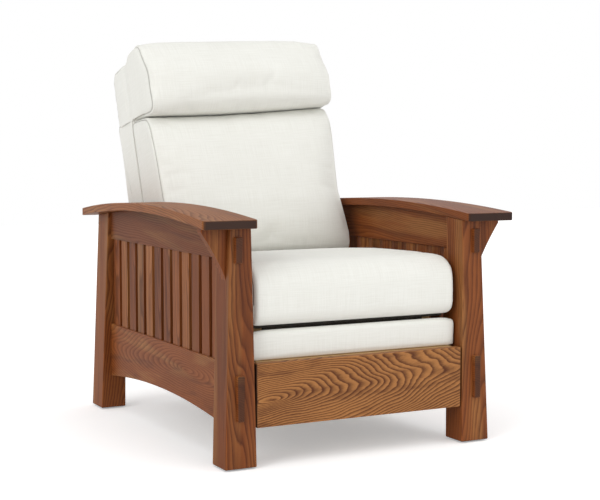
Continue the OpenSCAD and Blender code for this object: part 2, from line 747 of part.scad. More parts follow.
side_draw = 5;
edge_roll = 6;
seat_front_top_r = 48;
seat_front_foot_r = 28;
seat_rear_r = 30;
front_swell = 9;
function seat_profile() = outline([
    [seat_front_foot_r, seat_front_foot_r, seat_front_foot_r, 180],
    [cushion_d - seat_rear_r, seat_rear_r, seat_rear_r, 270],
    [cushion_d - seat_rear_r, cushion_t - seat_rear_r, seat_rear_r, 0],
    [seat_front_top_r, cushion_t - seat_front_top_r, seat_front_top_r, 90]]);
module seat_cushion() {
    ring = seat_profile();
    middle = mean_point(ring);
    placed() color(linen) seat_pose() translate([0, 0, soft_gap]) loft([for (t = station_share)
        [for (q = ring) let (
            p = eased(q, middle, edge_at(t, edge_roll)),
            high = max(0, p[1] - middle[1]) / middle[1],
            ahead = max(0, middle[0] - p[0]) / middle[0],
            lift = cushion_crown * crown_at(t) * hump(p[0], 0, cushion_d) * high,
            swell = front_swell * crown_at(t) * hump(p[1], 0, cushion_t) * ahead,
            side = t * (cushion_half - side_draw * hump(p[0], 0, cushion_d)))
                [side, p[0] - swell, p[1] + lift]]]);
}

// The back is laid out upright about its pivot, then tilted
module back_pose() { translate([0, pivot_y, pivot_z]) rotate([-back_tilt, 0, 0]) children(); }
shell_front = 60;
post_front = shell_front + webbing_t;
post_rear = back_rear - shell_t - seat_gap;
post_head = back_top - cap_r - seat_gap;
post_foot = -back_foot + shell_t;
back_rail_h = 35;
middle_rail_share = 0.5;
back_plate_h = 149;
back_plate_foot = post_foot + back_rail_h;
back_plate_head = back_plate_foot + back_plate_h;
module back_post(side) {
    placed() on_side(side) color(ply) back_pose()
        box(post_out - post_t, post_out, post_front, post_rear, post_foot, post_head);
}
module back_left_post() { back_post(1); }
module back_right_post() { back_post(-1); }
module back_rail(z0) {
    reach = post_out - post_t;
    placed() color(ply) back_pose() box(-reach, reach, post_front, post_rear, z0, z0 + back_rail_h);
}
module back_bottom_rail() { back_rail(post_foot); }
module back_middle_rail() { back_rail((post_head + post_foot) * middle_rail_share); }
module back_top_rail() { back_rail(post_head - back_rail_h); }
back_band_count = 5;
module back_webbing() {
    pitch = (post_head - back_plate_head) / back_band_count;
    placed() color([0.35, 0.33, 0.3]) back_pose() for (i = [0 : back_band_count - 1])
        let (z = back_plate_head + pitch * (i + 0.5))
            box(-post_out, post_out, shell_front, post_front, z - webbing_w / 2, z + webbing_w / 2);
}

// One length of the rigid back cover, a channel open to the front that holds the frame
module shell(z0, z1, crowned) {
    placed() color(linen) back_pose() difference() {
        union() {
            box(-back_half, back_half, shell_front, back_rear, z0, crowned ? z1 - cap_r : z1);
            if (crowned) {
                box(-back_half, back_half, shell_front, back_rear - cap_r, z0, z1);
                rod_x(-back_half, back_half, cap_r, back_rear - cap_r, z1 - cap_r);
            }
        }
        box(-back_half + shell_t, back_half - shell_t, shell_front - cut, back_rear - shell_t,
            z0 - cut, crowned ? z1 - cap_r : z1 + cut);
    }
}
module outer_back() { shell(-back_foot, cap_foot - seat_gap, false); }
module back_cap() { shell(cap_foot, back_top, true); }

cushion_back = shell_front - soft_gap;
back_front = -84;
back_nestle = 46.5;
back_cushion_foot = cushion_t - pivot_rise - back_nestle;
roll_drop = 38;
back_cushion_head = cap_foot - roll_drop;
back_slope = 28;
back_edge_r = 30;
back_swell = 26;
lumbar_swell = 16;
// The sewn front edge curves back at the top, and the loose head roll sits askew:
// its lower edge is higher at the sitter's left
back_top_ease = 26;
roll_skew = 28;
function skew_at(t) = roll_skew * pow((1 + t) / 2, 2);
// How far back a point lies in the cushion, from its front face to its rear face
function depth_share(y) = (y - back_front) / (cushion_back - back_front);
module back_cushion() {
    ring = outline([
        [back_front + back_edge_r, back_cushion_foot + back_edge_r, back_edge_r, 180],
        [cushion_back - back_edge_r, back_cushion_foot + back_edge_r, back_edge_r, 270],
        [cushion_back - back_edge_r / 2, back_cushion_head - back_edge_r / 2, back_edge_r / 2, 0],
        [back_front + back_edge_r, back_cushion_head - back_edge_r, back_edge_r, 90]]);
    middle = mean_point(ring);
    tall = back_cushion_head - back_cushion_foot;
    placed() color(linen) back_pose() loft([for (t = station_share)
        [for (q = ring) let (
            p = eased(q, middle, edge_at(t, edge_roll)),
            ahead = max(0, middle[0] - p[0]) / (middle[0] - back_front),
            up = (p[1] - back_cushion_foot) / tall,
            swell_here = back_swell * hump(up, -0.07, 1.07) + lumbar_swell * hump(up, 0, 0.5),
            swell = crown_at(t) * ahead * swell_here,
            rise = back_slope * depth_share(p[0]) + skew_at(t),
            side = t * (back_half - side_draw * hump(up, 0, 1)))
                [side, p[0] - swell + back_top_ease * pow(max(0, up), 4) * ahead, p[1] + rise * up]]]);
}

headrest_foot = back_cushion_head + soft_gap;
headrest_rise = 18;
headrest_head = back_top + headrest_rise;
headrest_front = -112;
headrest_swell = 26;
headrest_crown = 8;
headrest_low_r = 42;
headrest_top_r = 34;
headrest_lean = 56;
headrest_back = shell_front - soft_gap;
module headrest() {
    low_rear_r = headrest_top_r / 2;
    ring = outline([
        [headrest_front + headrest_low_r, headrest_foot + headrest_low_r, headrest_low_r, 180],
        [headrest_back - low_rear_r, headrest_foot + low_rear_r, low_rear_r, 270],
        [headrest_back - headrest_top_r, headrest_head - headrest_top_r, headrest_top_r, 0],
        [headrest_front + headrest_top_r, headrest_head - headrest_top_r, headrest_top_r, 90]]);
    middle = mean_point(ring);
    placed() color(linen) back_pose() loft([for (t = station_share)
        [for (q = ring) let (
            p = eased(q, middle, edge_at(t, edge_roll)),
            up = (p[1] - headrest_foot) / (headrest_head - headrest_foot),
            ahead = max(0, middle[0] - p[0]) / (middle[0] - headrest_front),
            swell = crown_at(t) * ahead * headrest_swell * hump(up, -0.2, 1.1),
            lift = crown_at(t) * headrest_crown * max(0, up - 0.5) * 2,
            rise = (1 - up) * (skew_at(t) + back_slope * depth_share(p[0])),
            side = t * (back_half - side_draw * hump(up, 0, 1)))
                [side, p[0] - swell + headrest_lean * up * ahead, p[1] + lift + rise]]]);
}

// Steel plates carry the back on its pivot, one screwed inside each post
module back_plate(side) {
    inner = post_out - post_t - plate_t;
    placed() on_side(side) color(steel) back_pose() difference() {
        union() {
            slab(inner, inner + plate_t) polygon([[0, ear_r], [0, -ear_r], [post_front, back_plate_foot],
                [post_rear - post_t, back_plate_foot], [post_rear - post_t, back_plate_head],
                [post_front, back_plate_head], [post_front, back_cushion_foot - plate_t]]);
            rod_x(inner, inner + plate_t, ear_r, 0, 0);
        }
        rod_x(inner - cut, inner + plate_t + cut, pin_r + run_gap, 0, 0);
    }
}
module back_left_plate() { back_plate(1); }
module back_right_plate() { back_plate(-1); }
module back_pivot_pins() {
    placed() color(steel) for (side = [1, -1]) on_side(side)
        rod_x(post_out - post_t - plate_t, layer(0) + plate_t, pin_r, pivot_y, pivot_z);
}

pad_set = 32;
pad_r = 12;
module footrest_pad() {
    front = board_setback + pad_set;
    foot_r = pad_r / 4;
    foot = board_top_z + soft_gap;
    head = board_top_z + pad_h;
    ring = outline([
        [front + foot_r, foot + foot_r, foot_r, 180], [backing_back - foot_r, foot + foot_r, foot_r, 270],
        [backing_back - pad_r, head - pad_r, pad_r, 0], [front + pad_r, head - pad_r, pad_r, 90]]);
    middle = mean_point(ring);
    placed() color(linen) difference() {
        loft([for (t = station_share)
            [for (q = ring) let (
                p = eased(q, middle, edge_at(t, edge_roll / 2)),
                high = max(0, p[1] - middle[1]) / (pad_h / 2))
                    [t * (inner_x(board_top_z) - pad_gap), p[0], p[1] - edge_at(t, pad_r / 2) * high]]]);
        backing_shape(soft_gap);
    }
}

front_left_leg();
front_right_leg();
rear_left_leg();
rear_right_leg();
left_arm();
right_arm();
left_upper_rail();
right_upper_rail();
left_lower_rail();
right_lower_rail();
left_slats();
right_slats();
left_corbel();
right_corbel();
rear_stretcher();
leg_glides();
arm_dowels();
corbel_dowels();
seat_left_rail();
seat_right_rail();
seat_front_rail();
seat_rear_rail();
left_seat_bearer();
right_seat_bearer();
seat_bolts();
seat_webbing();
seat_deck();
seat_cushion();
left_side_plate();
right_side_plate();
frame_rivets();
back_left_post();
back_right_post();
back_bottom_rail();
back_middle_rail();
back_top_rail();
back_webbing();
outer_back();
back_cap();
back_cushion();
headrest();
back_left_plate();
back_right_plate();
back_pivot_pins();
left_lift_link();
right_lift_link();
torque_tube();
lift_rivets();
left_reach_link();
right_reach_link();
reach_rivets();
left_control_link();
right_control_link();
footrest_board();
footrest_backing();
footrest_pad();
left_footrest_bracket();
right_footrest_bracket();
footrest_screws();
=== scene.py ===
# %% [markdown]
# # A mission reclining armchair
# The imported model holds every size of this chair. This lesson dresses it: oak with
# a stained, satin finish, cushions with sewn covers, and black steel underneath.
# Each step says first what the real piece is, and then how it can be made.

# %% Load the frame
import json
import math
import bmesh
import bpy
import numpy as np
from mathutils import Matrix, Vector
from mathutils.geometry import convex_hull_2d


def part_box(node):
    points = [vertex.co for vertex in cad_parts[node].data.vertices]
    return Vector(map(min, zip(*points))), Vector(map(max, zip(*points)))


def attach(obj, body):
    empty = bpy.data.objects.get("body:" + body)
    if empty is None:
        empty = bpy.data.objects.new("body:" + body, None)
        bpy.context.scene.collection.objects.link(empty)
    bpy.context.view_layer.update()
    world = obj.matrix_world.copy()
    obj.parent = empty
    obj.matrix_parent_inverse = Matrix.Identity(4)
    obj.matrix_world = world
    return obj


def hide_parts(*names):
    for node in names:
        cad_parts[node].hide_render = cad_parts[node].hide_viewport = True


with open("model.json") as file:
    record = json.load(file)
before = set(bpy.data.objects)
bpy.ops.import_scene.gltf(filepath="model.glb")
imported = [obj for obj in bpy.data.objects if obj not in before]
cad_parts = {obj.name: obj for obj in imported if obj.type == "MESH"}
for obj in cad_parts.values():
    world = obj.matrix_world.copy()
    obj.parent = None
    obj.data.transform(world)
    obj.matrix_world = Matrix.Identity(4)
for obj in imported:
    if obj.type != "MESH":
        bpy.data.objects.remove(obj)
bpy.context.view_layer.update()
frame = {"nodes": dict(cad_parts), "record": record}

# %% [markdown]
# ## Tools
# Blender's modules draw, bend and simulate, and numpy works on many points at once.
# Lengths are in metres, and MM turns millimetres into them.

scene = bpy.context.scene
nodes = frame["nodes"]
MM = 0.001

# %% [markdown]
# ## Camera
# The camera stands where the photographer stood: ahead of the chair, to the
# sitter's right, a little above the arms. A long lens keeps the sides nearly
# parallel. Its place, turn and lens were fitted to the photograph together.

# %% Camera
LENS = 82.14
CAMERA_SPOT = (-1.7219, -3.4271, 0.7916)
LOOKS_DOWN = 4.57
TURNED = 27.72
camera_data = bpy.data.cameras.new("camera")
camera_data.sensor_width = 36.0
camera_data.lens = LENS
camera = bpy.data.objects.new("camera", camera_data)
camera.location = CAMERA_SPOT
camera.rotation_euler = (math.radians(90 - LOOKS_DOWN), 0, math.radians(-TURNED))
scene.collection.objects.link(camera)
scene.camera = camera
scene.view_settings.view_transform = "Standard"
print("camera looks down by", LOOKS_DOWN, "degrees")

# %% [markdown]
# ## Writing materials as sums
# A material is a tree of nodes. Written by hand, a short formula turns into a page
# of wiring, so a small class wraps a node's output and lets plus, minus and times
# add the Math nodes.

# %% Shader sums
class Value:
    """One output of a node, to be used in sums."""

    def __init__(self, look, socket):
        self.look, self.socket = look, socket

    def sum(self, operation, *others):
        return self.look.node("Math", {"operation": operation}, dict(enumerate((self, *others))))

    def __add__(self, other):
        return self.sum("ADD", other)

    def __sub__(self, other):
        return self.sum("SUBTRACT", other)

    def __mul__(self, other):
        return self.sum("MULTIPLY", other)

    def __truediv__(self, other):
        return self.sum("DIVIDE", other)

    def __pow__(self, other):
        return self.sum("POWER", other)

    def __rsub__(self, other):
        return self.look.node("Math", {"operation": "SUBTRACT"}, {0: other, 1: self})

    __radd__, __rmul__ = __add__, __mul__


class Look:
    """A material that is being written, with its shader and one way to add a node."""

    def __init__(self, name, **fixed):
        self.material = bpy.data.materials.new(name)
        self.material.use_nodes = True
        self.tree = self.material.node_tree
        self.shader = self.tree.nodes["Principled BSDF"]
        for name, value in fixed.items():
            self.shader.inputs[name.replace("_", " ").title().replace("Ior", "IOR")].default_value = value

    def node(self, kind, settings=(), inputs=(), out=0):
        made = self.tree.nodes.new("ShaderNode" + kind)
        for name, value in dict(settings).items():
            setattr(made, name, value)
        for name, value in dict(inputs).items():
            self.plug(made.inputs[name], value)
        return Value(self, made.outputs[out])

    def plug(self, socket, value):
        if isinstance(value, Value):
            self.tree.links.new(value.socket, socket)
        else:
            socket.default_value = value

    def feed(self, **inputs):
        for name, value in inputs.items():
            self.plug(self.shader.inputs[name.replace("_", " ").title()], value)

    def noise(self, at, scale, detail=2.0, rough=0.5):
        return self.node("TexNoise", {"noise_dimensions": "3D"},
                         {"Vector": at, "Scale": scale, "Detail": detail, "Roughness": rough})

    def blend(self, share, a, b):
        return self.node("Mix", {"data_type": "RGBA", "blend_type": "MIX"}, {0: share, 6: a, 7: b}, out=2)

    def rise(self, value, low, high):
        """0 below low, 1 above high, and smooth between them."""
        return self.node("MapRange", {"interpolation_type": "SMOOTHSTEP"},
                         {"Value": value, "From Min": low, "From Max": high})

    def at(self, x, y, z):
        return self.node("CombineXYZ", (), {0: x, 1: y, 2: z})

    def parts(self, vector):
        split = self.tree.nodes.new("ShaderNodeSeparateXYZ")
        self.plug(split.inputs[0], vector)
        return [Value(self, output) for output in split.outputs]

    def stored(self, name, out="Vector"):
        return self.node("Attribute", {"attribute_name": name}, out=out)

    def bump(self, height, distance, strength=1.0):
        return self.node("Bump", (), {"Height": height, "Distance": distance, "Strength": strength})


def paint(red, green, blue):
    """A colour from its screen values, as the renderer wants it."""
    return tuple(((v / 255 + 0.055) / 1.055) ** 2.4 if v > 10 else v / 255 / 12.92
                 for v in (red, green, blue)) + (1.0,)


print("shader sums are ready")

# %% [markdown]
# ## Stained oak
# Oak shows its year rings: dark open-pored early wood, then paler dense late wood.
# A board is a flat cut through a bundle of slightly wavy tubes, so the material
# does just that. Each piece stores where every point lies in its own board, along,
# across and deep, measured from the pith. The distance from the pith, warped a
# little, gives the rings, and all the arches and eyes on a flat-sawn board follow.

# %% Oak
RING = 5.2 * MM
RED_LATE, RED_EARLY = paint(137, 74, 32), paint(78, 35, 14)
GOLD_LATE, GOLD_EARLY = paint(172, 122, 70), paint(80, 44, 22)
OAK_DEEP = paint(48, 24, 17)
OAK_END = paint(45, 30, 25)
OAK_DARK = paint(72, 34, 16)


def make_oak():
    look = Look("stained oak", coat_weight=0.14, coat_roughness=0.3, specular_ior_level=0.12)
    along, across, deep = look.parts(look.stored("board"))
    tone, eased, end = look.parts(look.stored("finish"))
    figure = look.stored("figure", "Fac")
    sway = look.noise(look.at(along * 2.6, across * 8, deep * 8), 1.0, 2.0, 0.45)
    width = look.noise(look.at(along * 0.7, across * 16, deep * 16), 1.0, 1.0)
    reach = (across * across + deep * deep) ** 0.5
    turn = (reach + (sway - 0.5) * (figure * 0.05 + 0.01)) / RING + width * 4.0
    ripple = look.noise(look.at(along * 22, across * 90, deep * 90), 1.0, 2.0)
    ring = (turn + ripple * figure * 0.5).sum("FRACT")
    early = (1 - ring) ** 1.6 * look.rise(ring, 0.0, 0.2)
    fibre = look.noise(look.at(along * 9, across * 520, deep * 520), 1.0, 3.0, 0.6)
    pore = look.rise(look.noise(look.at(along * 55, across * 1500, deep * 1500), 1.0, 1.0), 0.60, 0.70)
    patch = look.noise(look.at(along * 3, across * 14, deep * 14), 1.0, 2.0)
    shade = early * (figure * 0.7 + 0.2) + (fibre - 0.5) * 0.5 + (patch - 0.5) * 0.5 + 0.14
    streak = look.rise(look.noise(look.at(along * 1.6, across * 26, deep * 26), 1.0, 2.0), 0.46, 0.72)
    gold = look.rise(tone, 0.95, 1.35).sum("MAXIMUM", streak * 0.55)
    late = look.blend(gold, RED_LATE, GOLD_LATE)
    colour = look.blend(look.rise(shade, -0.1, 0.9), late, look.blend(gold, RED_EARLY, GOLD_EARLY))
    shaded = look.rise(look.noise(look.at(along * 2.4, across * 38 + 7, deep * 38), 1.0, 3.0), 0.52, 0.70)
    colour = look.blend(shaded * 0.42, colour, OAK_DARK)
    colour = look.blend(pore * early * 0.5, colour, OAK_DEEP)
    colour = look.blend(end * 0.95, colour, OAK_END)
    # Painted highlight: the eased edges are tinted towards the pale late wood, in patches, as if light
    # catches the rounded edges.
    colour = look.blend(eased * look.rise(patch, 0.35, 0.65) * 0.25, colour, late)
    colour = look.node("VectorMath", {"operation": "SCALE"}, {0: colour, "Scale": tone})
    height = (1 - early) * 0.5 - pore * early
    look.feed(base_color=colour, roughness=0.52 + early * 0.12 + end * 0.1,
              normal=look.bump(height, 0.1 * MM, 0.4))
    return look.material


OAK = make_oak()
print("oak rings are about", round(RING / MM, 1), "mm wide")

# %% [markdown]
# ## Woven cover cloth
# The covers are an off-white linen weave with thicker threads here and there. The
# threads follow the cloth, so each cover carries a map in metres: along and
# around the cushion on its main panel, and straight across its end panels.

# %% Linen
LINEN_PALE = paint(237, 237, 231)
LINEN_DULL = paint(223, 222, 214)
THREAD = 1.1 * MM


def make_linen():
    look = Look("woven linen", sheen_weight=0.12, sheen_roughness=0.5, roughness=0.92)
    u, v, _ = look.parts(look.node("UVMap", {"uv_map": "weave"}))
    seam_shade = look.stored("seam", "Fac")
    slub_u = look.noise(look.at(u * 14, v * 420, 0.0), 1.0, 2.0)
    slub_v = look.noise(look.at(u * 420, v * 14, 5.0), 1.0, 2.0)
    cloud = look.noise(look.at(u * 5, v * 5, 9.0), 1.0, 3.0)
    slub = (slub_u + slub_v - 1.0) * 0.9 + (cloud - 0.5) * 0.35
    warp = (u * (2 * math.pi / THREAD)).sum("SINE")
    weft = (v * (2 * math.pi / THREAD)).sum("SINE")
    colour = look.blend(look.rise(slub, -0.8, 0.6), LINEN_DULL, LINEN_PALE)
    # Painted shade: the cloth turns greyer along the seams, standing for the shadow in each seam line.
    colour = look.blend(seam_shade * 0.6, colour, paint(160, 158, 148))
    height = warp * weft * 0.3 + slub * 1.2
    look.feed(base_color=colour, normal=look.bump(height, 0.15 * MM, 0.3))
    return look.material


LINEN = make_linen()
print("threads lie", round(THREAD / MM, 2), "mm apart")

# %% [markdown]
# ## Parts that stay as the frame has them
# The works under the seat are right in size and shape already, so they only need
# finishes: black painted steel, bare wood, felt and webbing. Plain wood runs its
# grain along each piece's longest side. The seat box's front rail is dressed in the
# deck's dark cloth as painted shade: it stands for the black line of shadow under
# the seat cushion.

# %% Plain wood, steel and cloth
def make_plain_wood(name, axis):
    look = Look(name)
    place = look.parts(look.node("TexCoord", out="Object"))
    along = place.pop(axis)
    a, b = place
    sway = look.noise(look.at(along * 2, a * 9, b * 9), 1.0, 2.0)
    ring = ((a * 0.7 + b) / (4 * MM) + sway * 8.0).sum("FRACT")
    fibre = look.noise(look.at(along * 12, a * 500, b * 500), 1.0, 3.0)
    shade = ring * 0.5 + fibre * 0.5
    look.feed(base_color=look.blend(shade, paint(214, 182, 132), paint(176, 138, 92)),
              roughness=0.62 + fibre * 0.15, normal=look.bump(shade, 0.1 * MM, 0.4))
    return look.material


def make_steel():
    look = Look("black painted steel", metallic=0.0, coat_weight=0.4, coat_roughness=0.3)
    place = look.node("TexCoord", out="Object")
    mottle = look.noise(place, 900.0, 2.0)
    rub = look.rise(look.noise(place, 35.0, 3.0), 0.60, 0.72)
    look.feed(base_color=look.blend(rub * 0.35, paint(34, 34, 36), paint(88, 88, 92)),
              metallic=rub * 0.4, roughness=0.34 + mottle * 0.2, normal=look.bump(mottle, 0.08 * MM, 0.5))
    return look.material


def make_cloth(name, dark, pale, pitch):
    look = Look(name)
    x, y, z = look.parts(look.node("TexCoord", out="Object"))
    turn = 2 * math.pi / pitch
    cross = (x * turn).sum("SINE") * ((y + z * 0.9) * turn).sum("SINE")
    fuzz = look.noise(look.at(x * 300, y * 300, z * 300), 1.0, 2.0)
    look.feed(base_color=look.blend(look.rise(cross * 0.6 + fuzz, 0.1, 1.0), dark, pale),
              roughness=0.95 - fuzz * 0.05, normal=look.bump(cross + fuzz, 0.2 * MM, 0.5))
    return look.material


PLAIN_WOODS = [make_plain_wood("plain wood along " + "XYZ"[axis], axis) for axis in range(3)]
STEEL = make_steel()
WEBBING = make_cloth("woven webbing", paint(38, 36, 33), paint(84, 78, 68), 2.4 * MM)
DECK_CLOTH = make_cloth("deck cloth", paint(52, 49, 45), paint(96, 90, 80), 1.6 * MM)
FELT = make_cloth("pressed felt", paint(34, 32, 31), paint(62, 58, 55), 1.0 * MM)


def longest_axis(obj):
    low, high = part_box(obj.name)
    return max(range(3), key=lambda k: high[k] - low[k])


def finish_of(obj, slot_name):
    if slot_name == "plain_wood":
        return PLAIN_WOODS[longest_axis(obj)]
    return {"oak": OAK, "linen": LINEN, "steel": STEEL, "webbing": WEBBING,
            "deck_cloth": DECK_CLOTH, "felt": FELT}[slot_name]


# Painted shade: the seat box's front rail takes the deck's dark cloth, standing for the shadow line under
# the seat cushion.
SHADE_DRESSED = {"seat_front_rail": "deck_cloth"}
for part in frame["record"]["subparts"]:
    obj = nodes[part["node"]]
    obj.data.materials.clear()
    obj.data.materials.append(finish_of(obj, SHADE_DRESSED.get(obj.name, part["material_slot"])))
print(len(nodes), "CAD nodes have a finish")

# %% [markdown]
# ## Boards with eased edges
# Every oak piece had its edges rounded over before staining. Apart from the legs, each
# is drawn flat as one outline, made thick, eased, and only then put in its place,
# turned or bent. The flat drawing also tells the grain which way to run.

# %% Eased boards
EASE = 2.2 * MM
SHARP_ANGLE = math.radians(20)
END_GRAIN = 0.6


def solid_board(outline, thick, ease=EASE, cuts=()):
    """A flat board: its outline lies in X and Y, it is thick along Z, its edges are eased."""
    board = bmesh.new()
    face = board.faces.new([board.verts.new((x, y, 0.0)) for x, y in outline])
    raised = bmesh.ops.extrude_face_region(board, geom=[face])["geom"]
    top = [g for g in raised if isinstance(g, bmesh.types.BMVert)]
    bmesh.ops.translate(board, vec=(0, 0, thick), verts=top)
    bmesh.ops.recalc_face_normals(board, faces=board.faces)
    ease_edges(board, ease)
    for x in cuts:
        bmesh.ops.bisect_plane(board, geom=board.verts[:] + board.edges[:] + board.faces[:],
                               plane_co=(x, 0, 0), plane_no=(1, 0, 0))
    return board


def ease_edges(board, ease):
    """Rounds the sharp edges and marks the new faces, which the oak tints paler as a painted edge
    highlight.
    """
    mark = board.faces.layers.int.new("eased")
    sharp = [e for e in board.edges if e.calc_face_angle(0) > SHARP_ANGLE]
    eased = bmesh.ops.bevel(board, geom=sharp, offset=ease, segments=3, profile=0.5,
                            affect="EDGES", clamp_overlap=True)["faces"]
    for f in eased:
        f[mark] = 1


def set_piece(name, board, place, pith=(0.0, 0.0, 0.0), drift=(0.0, 0.0), tone=1.0, grain=0,
              figure=0.45, end=1.0):
    """Puts a flat board in place and writes where each point lies in its tree.

    pith is the flat place of the tree's middle line, drift its slope across and deep,
    grain the axis it runs along, figure how boldly the rings show, and end how dark the
    stain turns on end grain."""
    board.normal_update()
    mesh = bpy.data.meshes.new(name)
    mark = board.faces.layers.int.get("eased")
    finish = [(tone, float(f[mark]) if mark else 0.0, end * (abs(f.normal[grain]) > END_GRAIN))
              for f in board.faces]
    flat = np.array([v.co for v in board.verts])
    for vert, spot in zip(board.verts, place(flat)):
        vert.co = spot
    bmesh.ops.recalc_face_normals(board, faces=board.faces)
    board.to_mesh(mesh)
    board.free()
    tree = np.roll(flat, -grain, axis=1) - np.roll(np.array(pith), -grain)
    tree[:, 1] -= drift[0] * tree[:, 0]
    tree[:, 2] -= drift[1] * tree[:, 0]
    mesh.attributes.new("board", "FLOAT_VECTOR", "POINT").data.foreach_set("vector", tree.ravel())
    mesh.attributes.new("finish", "FLOAT_VECTOR", "FACE").data.foreach_set("vector", np.ravel(finish))
    mesh.attributes.new("figure", "FLOAT", "FACE").data.foreach_set("value", [figure] * len(finish))
    mesh.materials.append(OAK)
    obj = bpy.data.objects.new(name, mesh)
    scene.collection.objects.link(obj)
    return obj


def shown_for(obj, body, slot_name, *replaced):
    """The piece rides on its body and stands for these nodes; slot_name is not used."""
    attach(obj, body)
    if replaced:
        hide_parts(*replaced)
    print(obj.name, len(obj.data.polygons), "faces")
    return obj


def spots(node):
    """The corner points of a CAD node, one row each."""
    return np.array([v.co for v in nodes[node].data.vertices])


def flat_at(points, axis, value, slack=0.05 * MM):
    return points[np.abs(points[:, axis] - value) < slack]


print("edges are eased by", round(EASE / MM, 1), "mm")

# %% [markdown]
# ## Legs
# Each leg is one heavy tapered post. The frame's leg has the tenon holes cut in it,
# but the finished chair never shows them, so the leg is the hull of its corners.

# %% Legs
LEG_EASE = EASE * 1.2
FLAT_ANGLE = math.radians(3)


def make_leg(name, pith, tone):
    points = spots(name)
    board = bmesh.new()
    for point in np.unique(points.round(6), axis=0):
        board.verts.new(point)
    shell = bmesh.ops.convex_hull(board, input=board.verts)
    inner = [g for g in shell["geom_interior"] if isinstance(g, bmesh.types.BMVert)]
    bmesh.ops.delete(board, geom=inner, context="VERTS")
    bmesh.ops.dissolve_limit(board, angle_limit=FLAT_ANGLE, verts=board.verts, edges=board.edges)
    ease_edges(board, LEG_EASE)
    middle = points.mean(axis=0)
    leg = set_piece(name + "_oak", board, lambda p: p, middle + np.array(pith), drift=(0.02, 0.07),
                    tone=tone, grain=2, figure=0.6)
    return shown_for(leg, "frame", "oak", name)


make_leg("front_left_leg", (0.055, 0.115, 0.0), 1.0)
make_leg("front_right_leg", (-0.04, 0.13, 0.0), 0.94)
make_leg("rear_left_leg", (0.03, -0.12, 0.0), 0.95)
make_leg("rear_right_leg", (0.05, 0.1, 0.0), 1.02)

# %% [markdown]
# ## Rails
# The side rails are boards on edge: the upper one follows the arm's arc, the lower
# one has an arch cut in it. Their ends run into the legs, and the front tenons come
# out through the legs as separate chamfered heads.

# %% Rails
def side_outline(node, face_x):
    """The outline of a rail's outer face, in the chair's Y and Z, top edge first."""
    rim = np.unique(flat_at(spots(node), 0, face_x).round(6), axis=0)
    middle = (rim[:, 2].min() + rim[:, 2].max()) / 2
    top = sorted(tuple(p[1:]) for p in rim if p[2] > middle)
    foot = sorted((tuple(p[1:]) for p in rim if p[2] <= middle), reverse=True)
    return top + foot


def make_rail(side, node, pith, drift, tone):
    points = spots(node)
    faces = np.unique(points[:, 0].round(5))
    inner_x, outer_x = (faces[0], faces[-1]) if side > 0 else (faces[-1], faces[0])
    outline = side_outline(node, outer_x)
    board = solid_board(outline, abs(outer_x - inner_x))
    place = lambda p: np.column_stack([inner_x + side * p[:, 2], p[:, 0], p[:, 1]])
    return shown_for(set_piece(node + "_oak", board, place, pith, drift, tone), "frame", "oak", node)


# The right upper rail is stained darker (tone 0.72): painted shade for the arm's shadow on its outer face.
for side, name, tone in ((1, "left", 1.0), (-1, "right", 0.72)):
    make_rail(side, name + "_upper_rail", (0.1, 0.46, 0.06), (0.08, 0.05), tone)
    make_rail(side, name + "_lower_rail", (-0.1, 0.20, 0.035), (0.0, 0.16), 1.0)

# %% [markdown]
# ## Tenon heads
# Each side rail ends in a tenon that goes right through the front leg and stands a
# little proud. Its chamfered head is end grain, so the stain makes it dark.

# %% Tenon heads
HEAD_LENGTH = 40 * MM
HEAD_CHAMFER = 2.6 * MM


def make_tenon_head(node):
    points = spots(node)
    front = points[:, 1].min()
    head = flat_at(points, 1, front)
    (x0, _, z0), (x1, _, z1) = head.min(axis=0), head.max(axis=0)
    board = solid_board([(x0, z0), (x1, z0), (x1, z1), (x0, z1)], HEAD_LENGTH, HEAD_CHAMFER)
    place = lambda p: np.column_stack([p[:, 0], front + p[:, 2], p[:, 1]])
    pith = (x0 - 0.02, z0 - 0.03, 0.0)
    head = set_piece(node + "_head", board, place, pith, grain=2, end=0.75)
    return shown_for(head, "frame", "oak")


for name in ("left_upper_rail", "left_lower_rail", "right_upper_rail", "right_lower_rail"):
    make_tenon_head(name)

# %% [markdown]
# ## Bowed arms
# An arm is a flat board that tapers towards the back, with its plan corners cut
# round. It is then bent to the arc of the upper rail, which the frame's arm gives.

# %% Arms
ARM_CORNER = 9 * MM
ARM_EASE = 3.2 * MM
ARM_CUTS = 40


def rounded(corners, radius, steps=5):
    """A polygon with each corner turned into an arc."""
    outline = []
    count = len(corners)
    for k in range(count):
        before, here, after = (np.array(corners[(k + s) % count]) for s in (-1, 0, 1))
        a, b = (before - here), (after - here)
        a, b = a / np.linalg.norm(a), b / np.linalg.norm(b)
        half = math.acos(np.clip(a @ b, -1, 1)) / 2
        centre = here + (a + b) / np.linalg.norm(a + b) * radius / math.sin(half)
        first = here + a * radius / math.tan(half) - centre
        last = here + b * radius / math.tan(half) - centre
        for s in np.linspace(0, 1, steps + 1):
            spoke = first * (1 - s) + last * s
            outline.append(tuple(centre + spoke / np.linalg.norm(spoke) * radius))
    return outline


